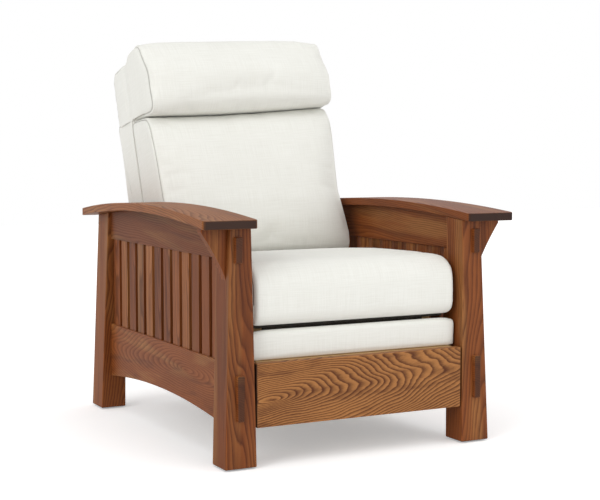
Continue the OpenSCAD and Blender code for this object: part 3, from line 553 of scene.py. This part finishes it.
def make_arm(side, node, pith, tone):
    points = spots(node)
    front, rear = points[:, 1].min(), points[:, 1].max()
    front_x = np.abs(flat_at(points, 1, front)[:, 0])
    rear_x = np.abs(flat_at(points, 1, rear)[:, 0])
    edge = flat_at(points, 0, side * front_x.min())
    ys = np.unique(edge[:, 1].round(5))
    foot = [edge[np.abs(edge[:, 1] - y) < 0.1 * MM][:, 2].min() for y in ys]
    thick = np.ptp(flat_at(points, 1, front)[:, 2])
    corners = [(front, front_x.min()), (rear, rear_x.min()), (rear, rear_x.max()), (front, front_x.max())]
    cuts = np.linspace(front, rear, ARM_CUTS + 2)[1:-1]
    board = solid_board(rounded(corners, ARM_CORNER), thick, ARM_EASE, cuts)
    place = lambda p: np.column_stack([side * p[:, 1], p[:, 0], np.interp(p[:, 0], ys, foot) + p[:, 2]])
    return shown_for(set_piece(node + "_oak", board, place, pith, (0.03, 0.07), tone), "frame", "oak", node)


make_arm(1, "left_arm", (0.0, 0.30, -0.05), 0.92)
make_arm(-1, "right_arm", (0.1, 0.45, -0.045), 1.08)

# %% [markdown]
# ## Corbels
# A corbel is a bracket under the arm, sawn in a curve with its grain upright. Its
# outline runs from the tip at its foot along the curve and the top to the shoulder,
# the upper corner beside the leg.

# %% Corbels
CORBEL_EASE = 1.8 * MM


def make_corbel(name, pith, tone):
    points = spots(name)
    front, rear = points[:, 1].min(), points[:, 1].max()
    rim = np.unique(flat_at(points, 1, front)[:, [2, 0]].round(6), axis=0)
    tip = rim[rim[:, 0].argmin()]
    top = rim[rim[:, 0] > rim[:, 0].max() - 1 * MM]
    shoulder = top[np.abs(top[:, 1]).argmin()]
    leg_side = np.interp(rim[:, 0], [tip[0], shoulder[0]], np.abs([tip[1], shoulder[1]]))
    curve = rim[np.abs(rim[:, 1]) > leg_side + 0.2 * MM]
    curve = curve[np.argsort(curve[:, 0])]
    board = solid_board([tuple(p) for p in (tip, *curve, shoulder)], rear - front, CORBEL_EASE)
    place = lambda p: np.column_stack([p[:, 1], front + p[:, 2], p[:, 0]])
    return shown_for(set_piece(name + "_oak", board, place, pith, tone=tone), "frame", "oak", name)


make_corbel("left_corbel", (0.0, 0.30, 0.06), 0.95)
make_corbel("right_corbel", (0.0, -0.44, 0.05), 0.95)

# %% [markdown]
# ## Footrest board and rear stretcher
# The footrest board is the show piece: a flat-sawn plank cut so near the pith that
# its rings close into an eye. The stretcher between the rear legs is a plain plank,
# shown without the ends that run into the legs.

# %% Footrest board and rear stretcher
PANEL_EASE = 2.6 * MM


def make_panel(node, body, pith, drift, tone, inset=0.0, figure=0.35):
    low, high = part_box(node)
    x0, x1 = low.x + inset, high.x - inset
    corners = [(x0, low.z), (x1, low.z), (x1, high.z), (x0, high.z)]
    board = solid_board(corners, high.y - low.y, PANEL_EASE)
    place = lambda p: np.column_stack([p[:, 0], low.y + p[:, 2], p[:, 1]])
    panel = set_piece(node + "_oak", board, place, pith, drift, tone, figure=figure)
    return shown_for(panel, body, "oak", node)


make_panel("footrest_board", "footrest", (-0.246, 0.163, 0.0), (0.10, 0.22), 1.2, figure=1.0)
make_panel("rear_stretcher", "frame", (0.0, -0.1, 0.05), (0.05, 0.1), 0.95, inset=20 * MM)

# %% [markdown]
# ## Slats
# Twelve equal slats fill each side, a clear case for Geometry Nodes: a line of
# points, one eased slat on each, then a shift of the grain and a change of tone
# that differ from slat to slat. The tree ends in real mesh with its material set.
# Each slat is drawn a little fuller than the frame's, which closes thin white slits
# that would show between slats.

# %% A tree for a row of slats
GRAIN_SHIFT = ((-3.0, -0.03, 0.03), (3.0, 0.05, 0.11))
TONE_SHIFT = ((-0.26, 0, 0), (0.14, 0, 0))


def add_node(tree, kind, settings=(), inputs=()):
    made = tree.nodes.new(kind)
    for name, value in dict(settings).items():
        setattr(made, name, value)
    for name, value in dict(inputs).items():
        if isinstance(value, bpy.types.NodeSocket):
            tree.links.new(value, made.inputs[name])
        else:
            made.inputs[name].default_value = value
    return made


def row_tree():
    """One slat on each point of a line, each with its own grain and tone."""
    tree = bpy.data.node_groups.new("row of slats", "GeometryNodeTree")
    face = tree.interface
    sockets = (("Slat", "Object"), ("Count", "Int"), ("Step", "Vector"), ("Seed", "Int"),
               ("Finish", "Material"))
    for name, kind in sockets:
        face.new_socket(name, in_out="INPUT", socket_type="NodeSocket" + kind)
    face.new_socket("Geometry", in_out="OUTPUT", socket_type="NodeSocketGeometry")
    given = tree.nodes.new("NodeGroupInput").outputs
    line = add_node(tree, "GeometryNodeMeshLine", (), {"Count": given["Count"], "Offset": given["Step"]})
    slat = add_node(tree, "GeometryNodeObjectInfo", (), {"Object": given["Slat"]})
    put = add_node(tree, "GeometryNodeInstanceOnPoints", (),
                   {"Points": line.outputs["Mesh"], "Instance": slat.outputs["Geometry"]})
    index = add_node(tree, "GeometryNodeInputIndex").outputs[0]
    number = add_node(tree, "GeometryNodeStoreNamedAttribute", {"data_type": "INT", "domain": "INSTANCE"},
                      {"Geometry": put.outputs[0], "Name": "slat", "Value": index})
    real = add_node(tree, "GeometryNodeRealizeInstances", (), {"Geometry": number.outputs[0]})
    which = add_node(tree, "GeometryNodeInputNamedAttribute", {"data_type": "INT"},
                     {"Name": "slat"}).outputs[0]
    shapes = real.outputs[0]
    for name, domain, (low, high) in (("board", "POINT", GRAIN_SHIFT), ("finish", "FACE", TONE_SHIFT)):
        chance = add_node(tree, "FunctionNodeRandomValue", {"data_type": "FLOAT_VECTOR"},
                          {"Min": low, "Max": high, "ID": which, "Seed": given["Seed"]})
        old = add_node(tree, "GeometryNodeInputNamedAttribute", {"data_type": "FLOAT_VECTOR"},
                       {"Name": name})
        total = add_node(tree, "ShaderNodeVectorMath", {"operation": "ADD"},
                         {0: old.outputs[0], 1: chance.outputs[0]})
        kept = add_node(tree, "GeometryNodeStoreNamedAttribute",
                        {"data_type": "FLOAT_VECTOR", "domain": domain},
                        {"Geometry": shapes, "Name": name, "Value": total.outputs[0]})
        shapes = kept.outputs[0]
    made = add_node(tree, "GeometryNodeSetMaterial", (), {"Geometry": shapes, "Material": given["Finish"]})
    tree.links.new(made.outputs[0], tree.nodes.new("NodeGroupOutput").inputs[0])
    return tree


def grown(tree, name, **values):
    """Runs a tree on an empty mesh and returns the result as an object of plain mesh."""
    host = bpy.data.objects.new(name, bpy.data.meshes.new(name))
    scene.collection.objects.link(host)
    modifier = host.modifiers.new("shape", "NODES")
    modifier.node_group = tree
    for item in tree.interface.items_tree:
        if item.in_out == "INPUT" and item.name in values:
            modifier[item.identifier] = values[item.name]
    graph = bpy.context.evaluated_depsgraph_get()
    ready = host.evaluated_get(graph)
    mesh = bpy.data.meshes.new_from_object(ready)
    host.modifiers.clear()
    host.data = mesh
    return host


SLAT_ROW = row_tree()
print("the row's tree has", len(SLAT_ROW.nodes), "nodes")

# %% Slats on both sides
SLAT_EASE = 0.6 * MM
SLAT_FULLER = 0.8 * MM


def make_slats(node, seed):
    points = spots(node)
    low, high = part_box(node)
    edges = np.unique(points[:, 1].round(5))
    wide, step = edges[1] - edges[0], edges[2] - edges[0]
    near, far = -SLAT_FULLER, wide + SLAT_FULLER
    corners = [(low.z, near), (high.z, near), (high.z, far), (low.z, far)]
    board = solid_board(corners, high.x - low.x + 2 * SLAT_FULLER, SLAT_EASE)
    place = lambda p: np.column_stack([low.x - SLAT_FULLER + p[:, 2], low.y + p[:, 1], p[:, 0]])
    slat = set_piece("slat", board, place, (0.3, 0.0, 0.0), (0.0, 0.02))
    count = len(edges) // 2
    row = grown(SLAT_ROW, node + "_oak", Slat=slat, Count=count, Step=(0.0, step, 0.0), Seed=seed,
                Finish=OAK)
    bpy.data.objects.remove(slat)
    return shown_for(row, "frame", "oak", node)


make_slats("left_slats", seed=4)
make_slats("right_slats", seed=11)

# %% [markdown]
# ## Cushion covers
# A boxed cushion has one long panel that runs around it and two end panels sewn to
# the panel's edges. The covers are drawn the same way. Slices of the frame's solid
# give the long panel, a ladder of faces closes each end, and the seam between them
# is drawn in a little, as thread pulls it.

# %% Slopes and slices
class Tilt:
    """A cushion's own slope: y and z measured from a corner of its bed."""
    def __init__(self, y, z, degrees):
        cosine, sine = math.cos(math.radians(degrees)), math.sin(math.radians(degrees))
        self.spot = np.array([y, z]) * MM
        self.turn = np.array([[cosine, -sine], [sine, cosine]])

    def own(self, points):
        return (points - self.spot) @ self.turn.T

    def world(self, points):
        return points @ self.turn + self.spot


SEAT_BED = Tilt(-467.225, 340.5, 2.6)
BACK_BED = Tilt(145.775, 400.0, 18.0)
FLAT_BED = Tilt(0.0, 0.0, 0.0)


def slice_of(node, x, tilt):
    """The rim of a CAD node where the plane at x cuts it, in the cushion's own y and z."""
    cut = bmesh.new()
    cut.from_mesh(nodes[node].data)
    made = bmesh.ops.bisect_plane(cut, geom=cut.verts[:] + cut.edges[:] + cut.faces[:],
                                  plane_co=(x, 0, 0), plane_no=(1, 0, 0))["geom_cut"]
    rim = np.array([tuple(g.co)[1:] for g in made if isinstance(g, bmesh.types.BMVert)])
    cut.free()
    rim = tilt.own(rim)
    return rim[convex_hull_2d(rim.tolist())]


def reach(rim, centre, angles):
    """How far a closed rim reaches from the centre in each direction."""
    a = rim - centre
    edge = np.roll(a, -1, axis=0) - a
    rays = np.column_stack([np.cos(angles), np.sin(angles)])[:, None, :]
    cross = lambda u, v: u[..., 0] * v[..., 1] - u[..., 1] * v[..., 0]
    span = cross(rays, edge[None])
    span = np.where(np.abs(span) < 1e-12, 1e-12, span)
    far = cross(a, edge)[None] / span
    share = cross(a[None], rays) / span
    return np.where((share > -1e-6) & (share < 1 + 1e-6) & (far > 0), far, 0.0).max(axis=1)


print("slices can be taken")

# %% Smooth, even rings
RAYS = 1440


def even_ring(rims, centre, start, count, soft):
    """One smooth ring around all the rims, with its points evenly spaced."""
    angles = start + np.linspace(0, 2 * math.pi, RAYS, endpoint=False)
    far = np.max([reach(rim, centre, angles) for rim in rims], axis=0)
    ring = centre + np.column_stack([np.cos(angles), np.sin(angles)]) * far[:, None]
    ring = even(ring, count * 4)
    wave = np.exp(-0.5 * (np.fft.fftfreq(len(ring)) * 2 * math.pi * soft) ** 2)
    low, high = ring.min(axis=0), ring.max(axis=0)
    ring = np.fft.ifft(np.fft.fft(ring, axis=0) * wave[:, None], axis=0).real
    ring = low + (ring - ring.min(axis=0)) * (high - low) / np.ptp(ring, axis=0)
    return even(ring, count)


def even(ring, count):
    loop = np.vstack([ring, ring[:1]])
    way = np.r_[0, np.cumsum(np.linalg.norm(np.diff(loop, axis=0), axis=1))]
    spots_along = np.linspace(0, way[-1], count, endpoint=False)
    return np.column_stack([np.interp(spots_along, way, loop[:, k]) for k in range(2)])


def inward(ring):
    ahead = np.roll(ring, -1, axis=0) - np.roll(ring, 1, axis=0)
    return np.column_stack([-ahead[:, 1], ahead[:, 0]]) / np.linalg.norm(ahead, axis=1)[:, None]


print("rings can be drawn")

# %% Sewing a cover
SEAM_SET = 5 * MM
SEAM_GROOVE = 1 * MM
SEAM_STEPS = [0.0, 0.0012, 0.003, 0.006]
SEAM_BAND = 0.012
COVER_PITCH = 9 * MM
MAP_RING = 5
SHELL_FRONT = 60 * MM
DENT_WIDTH = 9 * MM
END_SHARES = np.r_[0.012, 0.04, np.linspace(0.09, 0.91, 14), 0.96, 0.988]
END_ROUNDING = 0.35
END_FLATNESS = 5


def no_part(ring):
    return np.zeros(len(ring))


def sew_cover(name, ring_at, half, tilt, butted=no_part, dent=None, spread=None,
              bulge=SEAM_SET, crease=None):
    """A closed cover: ring_at(x) gives the long panel's ring, half is the half width.

    butted says where the panel meets another piece and isn't rounded at its seam, dent
    how far the end panels dip, spread how far each end puffs out at each height, bulge
    how far the end panels stand out, and crease how wide the seam is rounded."""
    edge = half - bulge
    inner = np.linspace(-edge + SEAM_BAND, edge - SEAM_BAND, int(2 * edge / COVER_PITCH))
    stations = np.r_[[-edge + s for s in SEAM_STEPS], inner, [edge - s for s in SEAM_STEPS[::-1]]]
    rings = []
    for x in stations:
        ring = ring_at(x)
        roll = (crease or bulge) + 1 * MM
        deep = max(roll - (edge - abs(x)), 0.0)
        tuck = roll - math.sqrt(roll ** 2 - deep ** 2) + (SEAM_GROOVE if deep > 0.99 * roll else 0.0)
        rings.append(ring + inward(ring) * (tuck * (1 - 0.9 * butted(ring)))[:, None])
    rings = np.array(rings)
    count = rings.shape[1]
    loop = np.vstack([rings[MAP_RING], rings[MAP_RING][:1]])
    way = np.r_[0, np.cumsum(np.linalg.norm(np.diff(loop, axis=0), axis=1))]
    points, seam = [], []
    for i, x in enumerate(stations):
        points += [(x, *p) for p in rings[i]]
        seam += [float(i in (0, len(stations) - 1))] * count
    faces, maps = [], []
    for i in range(len(stations) - 1):
        for k in range(count):
            n = (k + 1) % count
            faces.append((i * count + k, i * count + n, (i + 1) * count + n, (i + 1) * count + k))
            maps += [(stations[i], way[k]), (stations[i], way[k + 1]),
                     (stations[i + 1], way[k + 1]), (stations[i + 1], way[k])]
    for side, first in ((-1, 0), (1, (len(stations) - 1) * count)):
        add_end(points, faces, maps, seam, rings[0 if side < 0 else -1], first, side, edge, bulge, dent)
    points = np.array(points)
    if spread is not None:
        left, right = (np.interp(points[:, 2], SPREAD_HEIGHT, side) for side in spread)
        share = points[:, 0] / half
        points[:, 0] += left * np.clip(share, 0, 1) ** 2 - right * np.clip(-share, 0, 1) ** 2
    pinned = np.arange(len(points)) >= len(stations) * count
    pinned |= np.array(seam) > 0
    mesh = bpy.data.meshes.new(name)
    placed = np.column_stack([points[:, 0], tilt.world(points[:, 1:])])
    mesh.from_pydata(placed.tolist(), [], faces)
    mesh.uv_layers.new(name="weave").data.foreach_set("uv", np.ravel(maps))
    mesh.attributes.new("seam", "FLOAT", "POINT").data.foreach_set("value", seam)
    mesh.materials.append(LINEN)
    mesh.shade_smooth()
    obj = bpy.data.objects.new(name, mesh)
    scene.collection.objects.link(obj)
    obj.vertex_groups.new(name="pin").add(np.nonzero(pinned)[0].tolist(), 1.0, "REPLACE")
    return obj


def add_end(points, faces, maps, seam, ring, first, side, edge, bulge, dent):
    """Closes one end: columns of faces run from each ring point to the one opposite it."""
    count = len(ring)
    half = count // 2
    columns = [[first]]
    for k in range(1, half):
        a, b = ring[k], ring[count - k]
        column = [first + k]
        along = math.sin(math.pi * k / half) ** END_ROUNDING
        for share in END_SHARES:
            out = bulge * along * (1 - abs(2 * share - 1) ** END_FLATNESS)
            spot = a * (1 - share) + b * share
            if dent is not None:
                out -= dent * math.exp(-((spot[0] - SHELL_FRONT) / DENT_WIDTH) ** 2) * along
            column.append(len(points))
            points.append((side * (edge + out), *spot))
            seam.append(0.0)
        columns.append(column + [first + count - k])
    columns.append([first + half])
    for one, two in zip(columns, columns[1:]):
        for m in range(len(END_SHARES) + 1):
            face = [one[min(m, len(one) - 1)], one[min(m + 1, len(one) - 1)],
                    two[min(m + 1, len(two) - 1)], two[min(m, len(two) - 1)]]
            face = list(dict.fromkeys(face if side > 0 else face[::-1]))
            faces.append(tuple(face))
            maps += [tuple(points[v][1:]) for v in face]


print("covers can be cut")

# %% [markdown]
# ## How each cover differs from the solid under it
# The loose head roll lies askew, higher at the sitter's left, and bellies forward, and
# the back cushion's top follows it. Where two covers meet, their seams stay square so
# no gap opens. The outer back's top edge goes up inside the cap's cover.

# %% Moulds for the rings
def as_cut(ring, x):
    return ring


def ring_maker(names, tilt, centre, start, count, soft, reach_x, mould):
    """Gives the long panel's ring at any x, sliced no nearer to the end than reach_x."""
    centre = np.array(centre) * MM
    kept = {}

    def ring_at(x):
        x = round(min(max(x, -reach_x), reach_x), 4)
        if x not in kept:
            rims = [slice_of(name, SHELL_X if name in SHELLS else x, tilt) for name in names]
            kept[x] = mould(even_ring(rims, centre, math.radians(start), count, soft), x)
        return kept[x]
    return ring_at


SHELLS = ("outer_back", "back_cap")
SHELL_X = 0.281
BACK_HALF = 0.284
ROLL_LIFT = (-6 * MM, 20 * MM)
SPREAD_HEIGHT = (0.0, 0.10, 0.23, 0.45, 0.70)
BACK_SPREAD = ((0.012, 0.014, -0.002, 0.018, 0.023), (0.0, 0.004, 0.006, 0.009, 0.010))
HEAD_SPREAD = ((0.012, 0.014, -0.002, 0.020, 0.026), (0.0, 0.004, 0.006, 0.011, 0.013))
SHELL_SPREAD = ((0.0, 0.0, 0.0, 0.006, 0.008), (0.0, 0.003, 0.004, 0.008, 0.010))
SKEW_MORE = 10 * MM
ROLL_BELLY = 15 * MM
ROLL_FOOT = 0.56
ROLL_MIDDLE = 0.585
BELLY_HEIGHT = 0.045
NOTCH_WIDTH = 14 * MM
NOTCH_FOOT, NOTCH_TOP, NOTCH_FILL = 0.477, 0.53, 0.02
CAP_FOOT, CAP_REAR = 0.51, 0.14
TONGUE_IN, TONGUE_UP = 1.2, 8
COVERS = {}


def ramp(values, start, span):
    """0 up to start and 1 from span further on, or the other way for a span below 0."""
    return np.clip((values - start) / span, 0, 1)


def make_cover(name, names, body, tilt, centre, start, count, soft, half, draw, mould=as_cut, **sewing):
    """Sews the cover over these nodes.

    centre is a spot inside the ring, in mm on the bed, start the angle at which the ring
    begins, count its points, soft how much it is smoothed, and draw how far before its
    end the nodes are sliced for the last time."""
    ring_at = ring_maker(names, tilt, centre, start, count, soft, half - draw, mould)
    cover = sew_cover(name, ring_at, half, tilt, **sewing)
    COVERS[name] = (cover, tilt)
    return shown_for(cover, body, "linen", *names)


def rear_of_cushion(ring):
    return np.clip((ring[:, 0] - SHELL_FRONT + 8 * MM) / (6 * MM), 0, 1)


def front_or_top_of_shell(ring):
    front = np.clip((SHELL_FRONT + 8 * MM - ring[:, 0]) / (6 * MM), 0, 1)
    top = np.clip((ring[:, 1] - ring[:, 1].max() + 30 * MM) / (8 * MM), 0, 1)
    return np.maximum(front, top)


def foot_of_cap(ring):
    foot = (ring[:, 0] > SHELL_FRONT - 10 * MM) * ramp(ring[:, 1], CAP_FOOT, -8 * MM)
    rear = 0.7 * ramp(ring[:, 0], CAP_REAR, 10 * MM)
    return np.maximum(foot, rear)


def askew_roll(ring, x):
    """The loose roll sits higher at the sitter's left, and its cover closes the notch behind."""
    deep, up = ring[:, 0], ring[:, 1]
    high = ramp(up, ROLL_FOOT, 0.13) * ramp(deep, 0.09, -0.04)
    lift = ROLL_LIFT[0] + (ROLL_LIFT[1] - ROLL_LIFT[0]) * (x / BACK_HALF + 1) / 2
    near_notch = np.exp(-((deep - SHELL_FRONT) / NOTCH_WIDTH) ** 2) * (up < NOTCH_TOP)
    notch_fill = near_notch * np.clip(up - NOTCH_FOOT, 0, NOTCH_FILL)
    low = ramp(up, ROLL_FOOT, -0.08) * ramp(deep, 0.05, -0.03)
    lift = high * lift + low * SKEW_MORE * skew_share(x)
    belly = ROLL_BELLY * np.exp(-((up - ROLL_MIDDLE) / BELLY_HEIGHT) ** 2) * ramp(deep, 0.0, -0.04)
    return np.column_stack([deep - belly, up + lift - notch_fill])


def tongued(ring, x):
    """The outer back's top edge goes up inside the cap's cover, so no wood shows between them."""
    top = np.clip((ring[:, 1] - ring[:, 1].max() + 3 * MM) / (2 * MM), 0, 1)
    rear = ramp(ring[:, 0], 0.10, 0.02)
    return np.column_stack([ring[:, 0] - top * rear * TONGUE_IN * MM, ring[:, 1] + top * TONGUE_UP * MM])


def skew_share(x):
    return ((x / BACK_HALF + 1) / 2) ** 2


def askew_top(ring, x):
    """The back cushion's top edge follows the askew roll above it."""
    high = ramp(ring[:, 1], 0.38, 0.1)
    return np.column_stack([ring[:, 0], ring[:, 1] + high * SKEW_MORE * skew_share(x)])


print("moulds are ready")

# %% Five covers
SEAT_COVER_HALF = 0.2998
BACK_COVER_HALF = 0.2838
make_cover("seat_cover", ["seat_cushion"], "frame", SEAT_BED, (268, 74), -15, 168, 2.0,
           SEAT_COVER_HALF, 0.055, bulge=10 * MM)
make_cover("back_cover", ["back_cushion"], "back", BACK_BED, (-20, 250), -60, 148, 2.0,
           BACK_COVER_HALF, 0.022, askew_top, butted=rear_of_cushion, spread=BACK_SPREAD)
make_cover("head_cover", ["headrest", "back_cap"], "back", BACK_BED, (20, 575), -60, 96, 3.0,
           BACK_COVER_HALF, 0.022, askew_roll, butted=foot_of_cap, dent=8 * MM, spread=HEAD_SPREAD,
           bulge=9 * MM, crease=5 * MM)
make_cover("outer_cover", ["outer_back"], "back", BACK_BED, (116, 200), -45, 160, 1.0,
           BACK_COVER_HALF, 0.006, tongued, butted=front_or_top_of_shell, spread=SHELL_SPREAD, bulge=3 * MM)
low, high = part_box("footrest_pad")
pad_middle = ((low.y + high.y) / 2 / MM, (low.z + high.z) / 2 / MM)
make_cover("strip_cover", ["footrest_pad"], "footrest", FLAT_BED, pad_middle, -60, 40, 0.8, high.x, 0.008,
           bulge=3 * MM)

# %% [markdown]
# ## Filling the cushions
# Foam and fibre press a cover outwards, and its sewn edges hold it back, which gives
# the crown and the small puckers along the seams. A short cloth simulation does the
# same: some pressure, no weight, cloth cut slightly too large, and pinned seams. The
# outer back is cloth stretched over a frame, so it isn't filled.

# %% Filling
FILL_FRAMES = 20
SIDE_ROOM = 3 * MM
FILLS = {
    "seat_cover": ((-7, 0, 0, 5), 0.014), "back_cover": ((-12, 0, 0, 0), 0.014),
    "head_cover": ((-9, 0, 0, 12), 0.016), "strip_cover": ((-3, 0, 0, 2), 0.006)}


def fill(cover, loose):
    """Gives a cover the cloth simulation that its filling stands for."""
    modifier = cover.modifiers.new("fill", "CLOTH")
    modifier.point_cache.frame_start = 1
    modifier.point_cache.frame_end = FILL_FRAMES
    cloth = modifier.settings
    cloth.quality = 5
    cloth.mass = 0.3
    cloth.tension_stiffness = cloth.compression_stiffness = 15
    cloth.shear_stiffness = 5
    cloth.bending_stiffness = 0.6
    cloth.use_pressure = True
    cloth.uniform_pressure_force = 4.0
    cloth.vertex_group_mass = "pin"
    cloth.shrink_min = -loose
    cloth.effector_weights.gravity = 0.0


def settle(cover, tilt, room):
    """Takes the simulated shape, but goes no further than the cushion has room, given in mm."""
    before = np.array([v.co for v in cover.data.vertices])
    ready = cover.evaluated_get(bpy.context.evaluated_depsgraph_get())
    after = np.array([v.co for v in ready.data.vertices])
    start, move = tilt.own(before[:, 1:]), tilt.own(after[:, 1:]) - tilt.own(before[:, 1:])
    ahead, behind, below, above = (v * MM for v in room)
    move = np.column_stack([soft_limit(move[:, 0], ahead, behind), soft_limit(move[:, 1], below, above)])
    side = soft_limit(after[:, 0] - before[:, 0], -SIDE_ROOM, SIDE_ROOM)
    placed = np.column_stack([before[:, 0] + side, tilt.world(start + move)])
    cover.modifiers.clear()
    cover.data.vertices.foreach_set("co", placed.ravel())
    cover.data.update()
    print(cover.name, "moved up to", round(float(np.abs(placed - before).max() / MM), 1), "mm")


def soft_limit(move, low, high):
    """Keeps a move between two limits without a sharp stop."""
    kept = np.zeros(len(move))
    if high > 0:
        kept += high * np.tanh(np.maximum(move, 0) / high)
    if low < 0:
        kept += low * np.tanh(np.minimum(move, 0) / low)
    return kept


def smoothed(cover):
    """One subdivision, taken into the mesh."""
    modifier = cover.modifiers.new("smooth", "SUBSURF")
    modifier.levels = modifier.render_levels = 1
    ready = cover.evaluated_get(bpy.context.evaluated_depsgraph_get())
    mesh = bpy.data.meshes.new_from_object(ready)
    cover.modifiers.clear()
    cover.data = mesh


for name, (room, loose) in FILLS.items():
    fill(COVERS[name][0], loose)
for frame_number in range(1, FILL_FRAMES + 1):
    scene.frame_set(frame_number)
for name, (room, loose) in FILLS.items():
    settle(*COVERS[name], room)
    smoothed(COVERS[name][0])
for cover, _ in COVERS.values():
    cover.vertex_groups.clear()
print(len(COVERS), "covers are ready")

# %% [markdown]
# ## Stage
# A pale floor keeps the soft shadow under the chair. To the camera it glows a little,
# so it comes out white beside the shadow. Camera, glossy and transmission rays find
# pure white surroundings, while the light that those give is weaker. Three far lamps
# do the rest: a window ahead on the sitter's right, as the bright side faces show, one
# overhead, and a low one ahead on the sitter's left.

# %% Floor
FLOOR_LIFT = 0.3
floor_look = Look("pale floor", roughness=1.0)
looked_at = floor_look.node("LightPath", out="Is Camera Ray")
floor_look.feed(emission_strength=looked_at * FLOOR_LIFT)
floor_look.feed(emission_color=paint(255, 255, 255))
speckle = floor_look.noise(floor_look.node("TexCoord", out="Object"), 3.0, 3.0)
floor_look.feed(base_color=floor_look.blend(speckle, paint(253, 253, 253), paint(255, 255, 255)))
floor = bmesh.new()
bmesh.ops.create_grid(floor, x_segments=12, y_segments=12, size=9.0)
floor_mesh = bpy.data.meshes.new("floor")
floor.to_mesh(floor_mesh)
floor.free()
floor_mesh.materials.append(floor_look.material)
stage_floor = bpy.data.objects.new("floor", floor_mesh)
scene.collection.objects.link(stage_floor)
print("floor is laid")

# %% Surroundings
AMBIENT = 0.6
world = bpy.data.worlds.new("surroundings")
scene.world = world
world.use_nodes = True
sky = world.node_tree
sky.nodes.clear()
ray = sky.nodes.new("ShaderNodeLightPath")
seen = [ray.outputs["Is " + kind + " Ray"] for kind in ("Camera", "Glossy", "Transmission")]
mirrored = sky.nodes.new("ShaderNodeMath")
mirrored.operation = "MAXIMUM"
sky.links.new(seen[1], mirrored.inputs[0])
sky.links.new(seen[2], mirrored.inputs[1])
pure = sky.nodes.new("ShaderNodeMath")
pure.operation = "MAXIMUM"
sky.links.new(seen[0], pure.inputs[0])
sky.links.new(mirrored.outputs[0], pure.inputs[1])
level = sky.nodes.new("ShaderNodeMapRange")
sky.links.new(pure.outputs[0], level.inputs["Value"])
level.inputs["To Min"].default_value = AMBIENT
level.inputs["To Max"].default_value = 1.0
glow = sky.nodes.new("ShaderNodeBackground")
glow.inputs["Color"].default_value = (1.0, 1.0, 1.0, 1.0)
sky.links.new(level.outputs[0], glow.inputs["Strength"])
out = sky.nodes.new("ShaderNodeOutputWorld")
sky.links.new(glow.outputs[0], out.inputs["Surface"])
print("light from all around is", AMBIENT)

# %% Lamps
def add_lamp(name, towards, strength, width):
    """A far, soft lamp, so the whole floor gets the same light."""
    data = bpy.data.lights.new(name, "SUN")
    data.energy = strength
    data.angle = math.radians(width)
    lamp = bpy.data.objects.new(name, data)
    lamp.rotation_euler = Vector(towards).to_track_quat("-Z", "Y").to_euler()
    scene.collection.objects.link(lamp)


add_lamp("window", (0.85, 0.35, -0.45), 0.98, 35)
add_lamp("overhead", (-0.1, 0.25, -1.0), 0.6, 60)
add_lamp("fill", (-0.4, 0.9, -0.12), 0.72, 50)
print("stage is set")
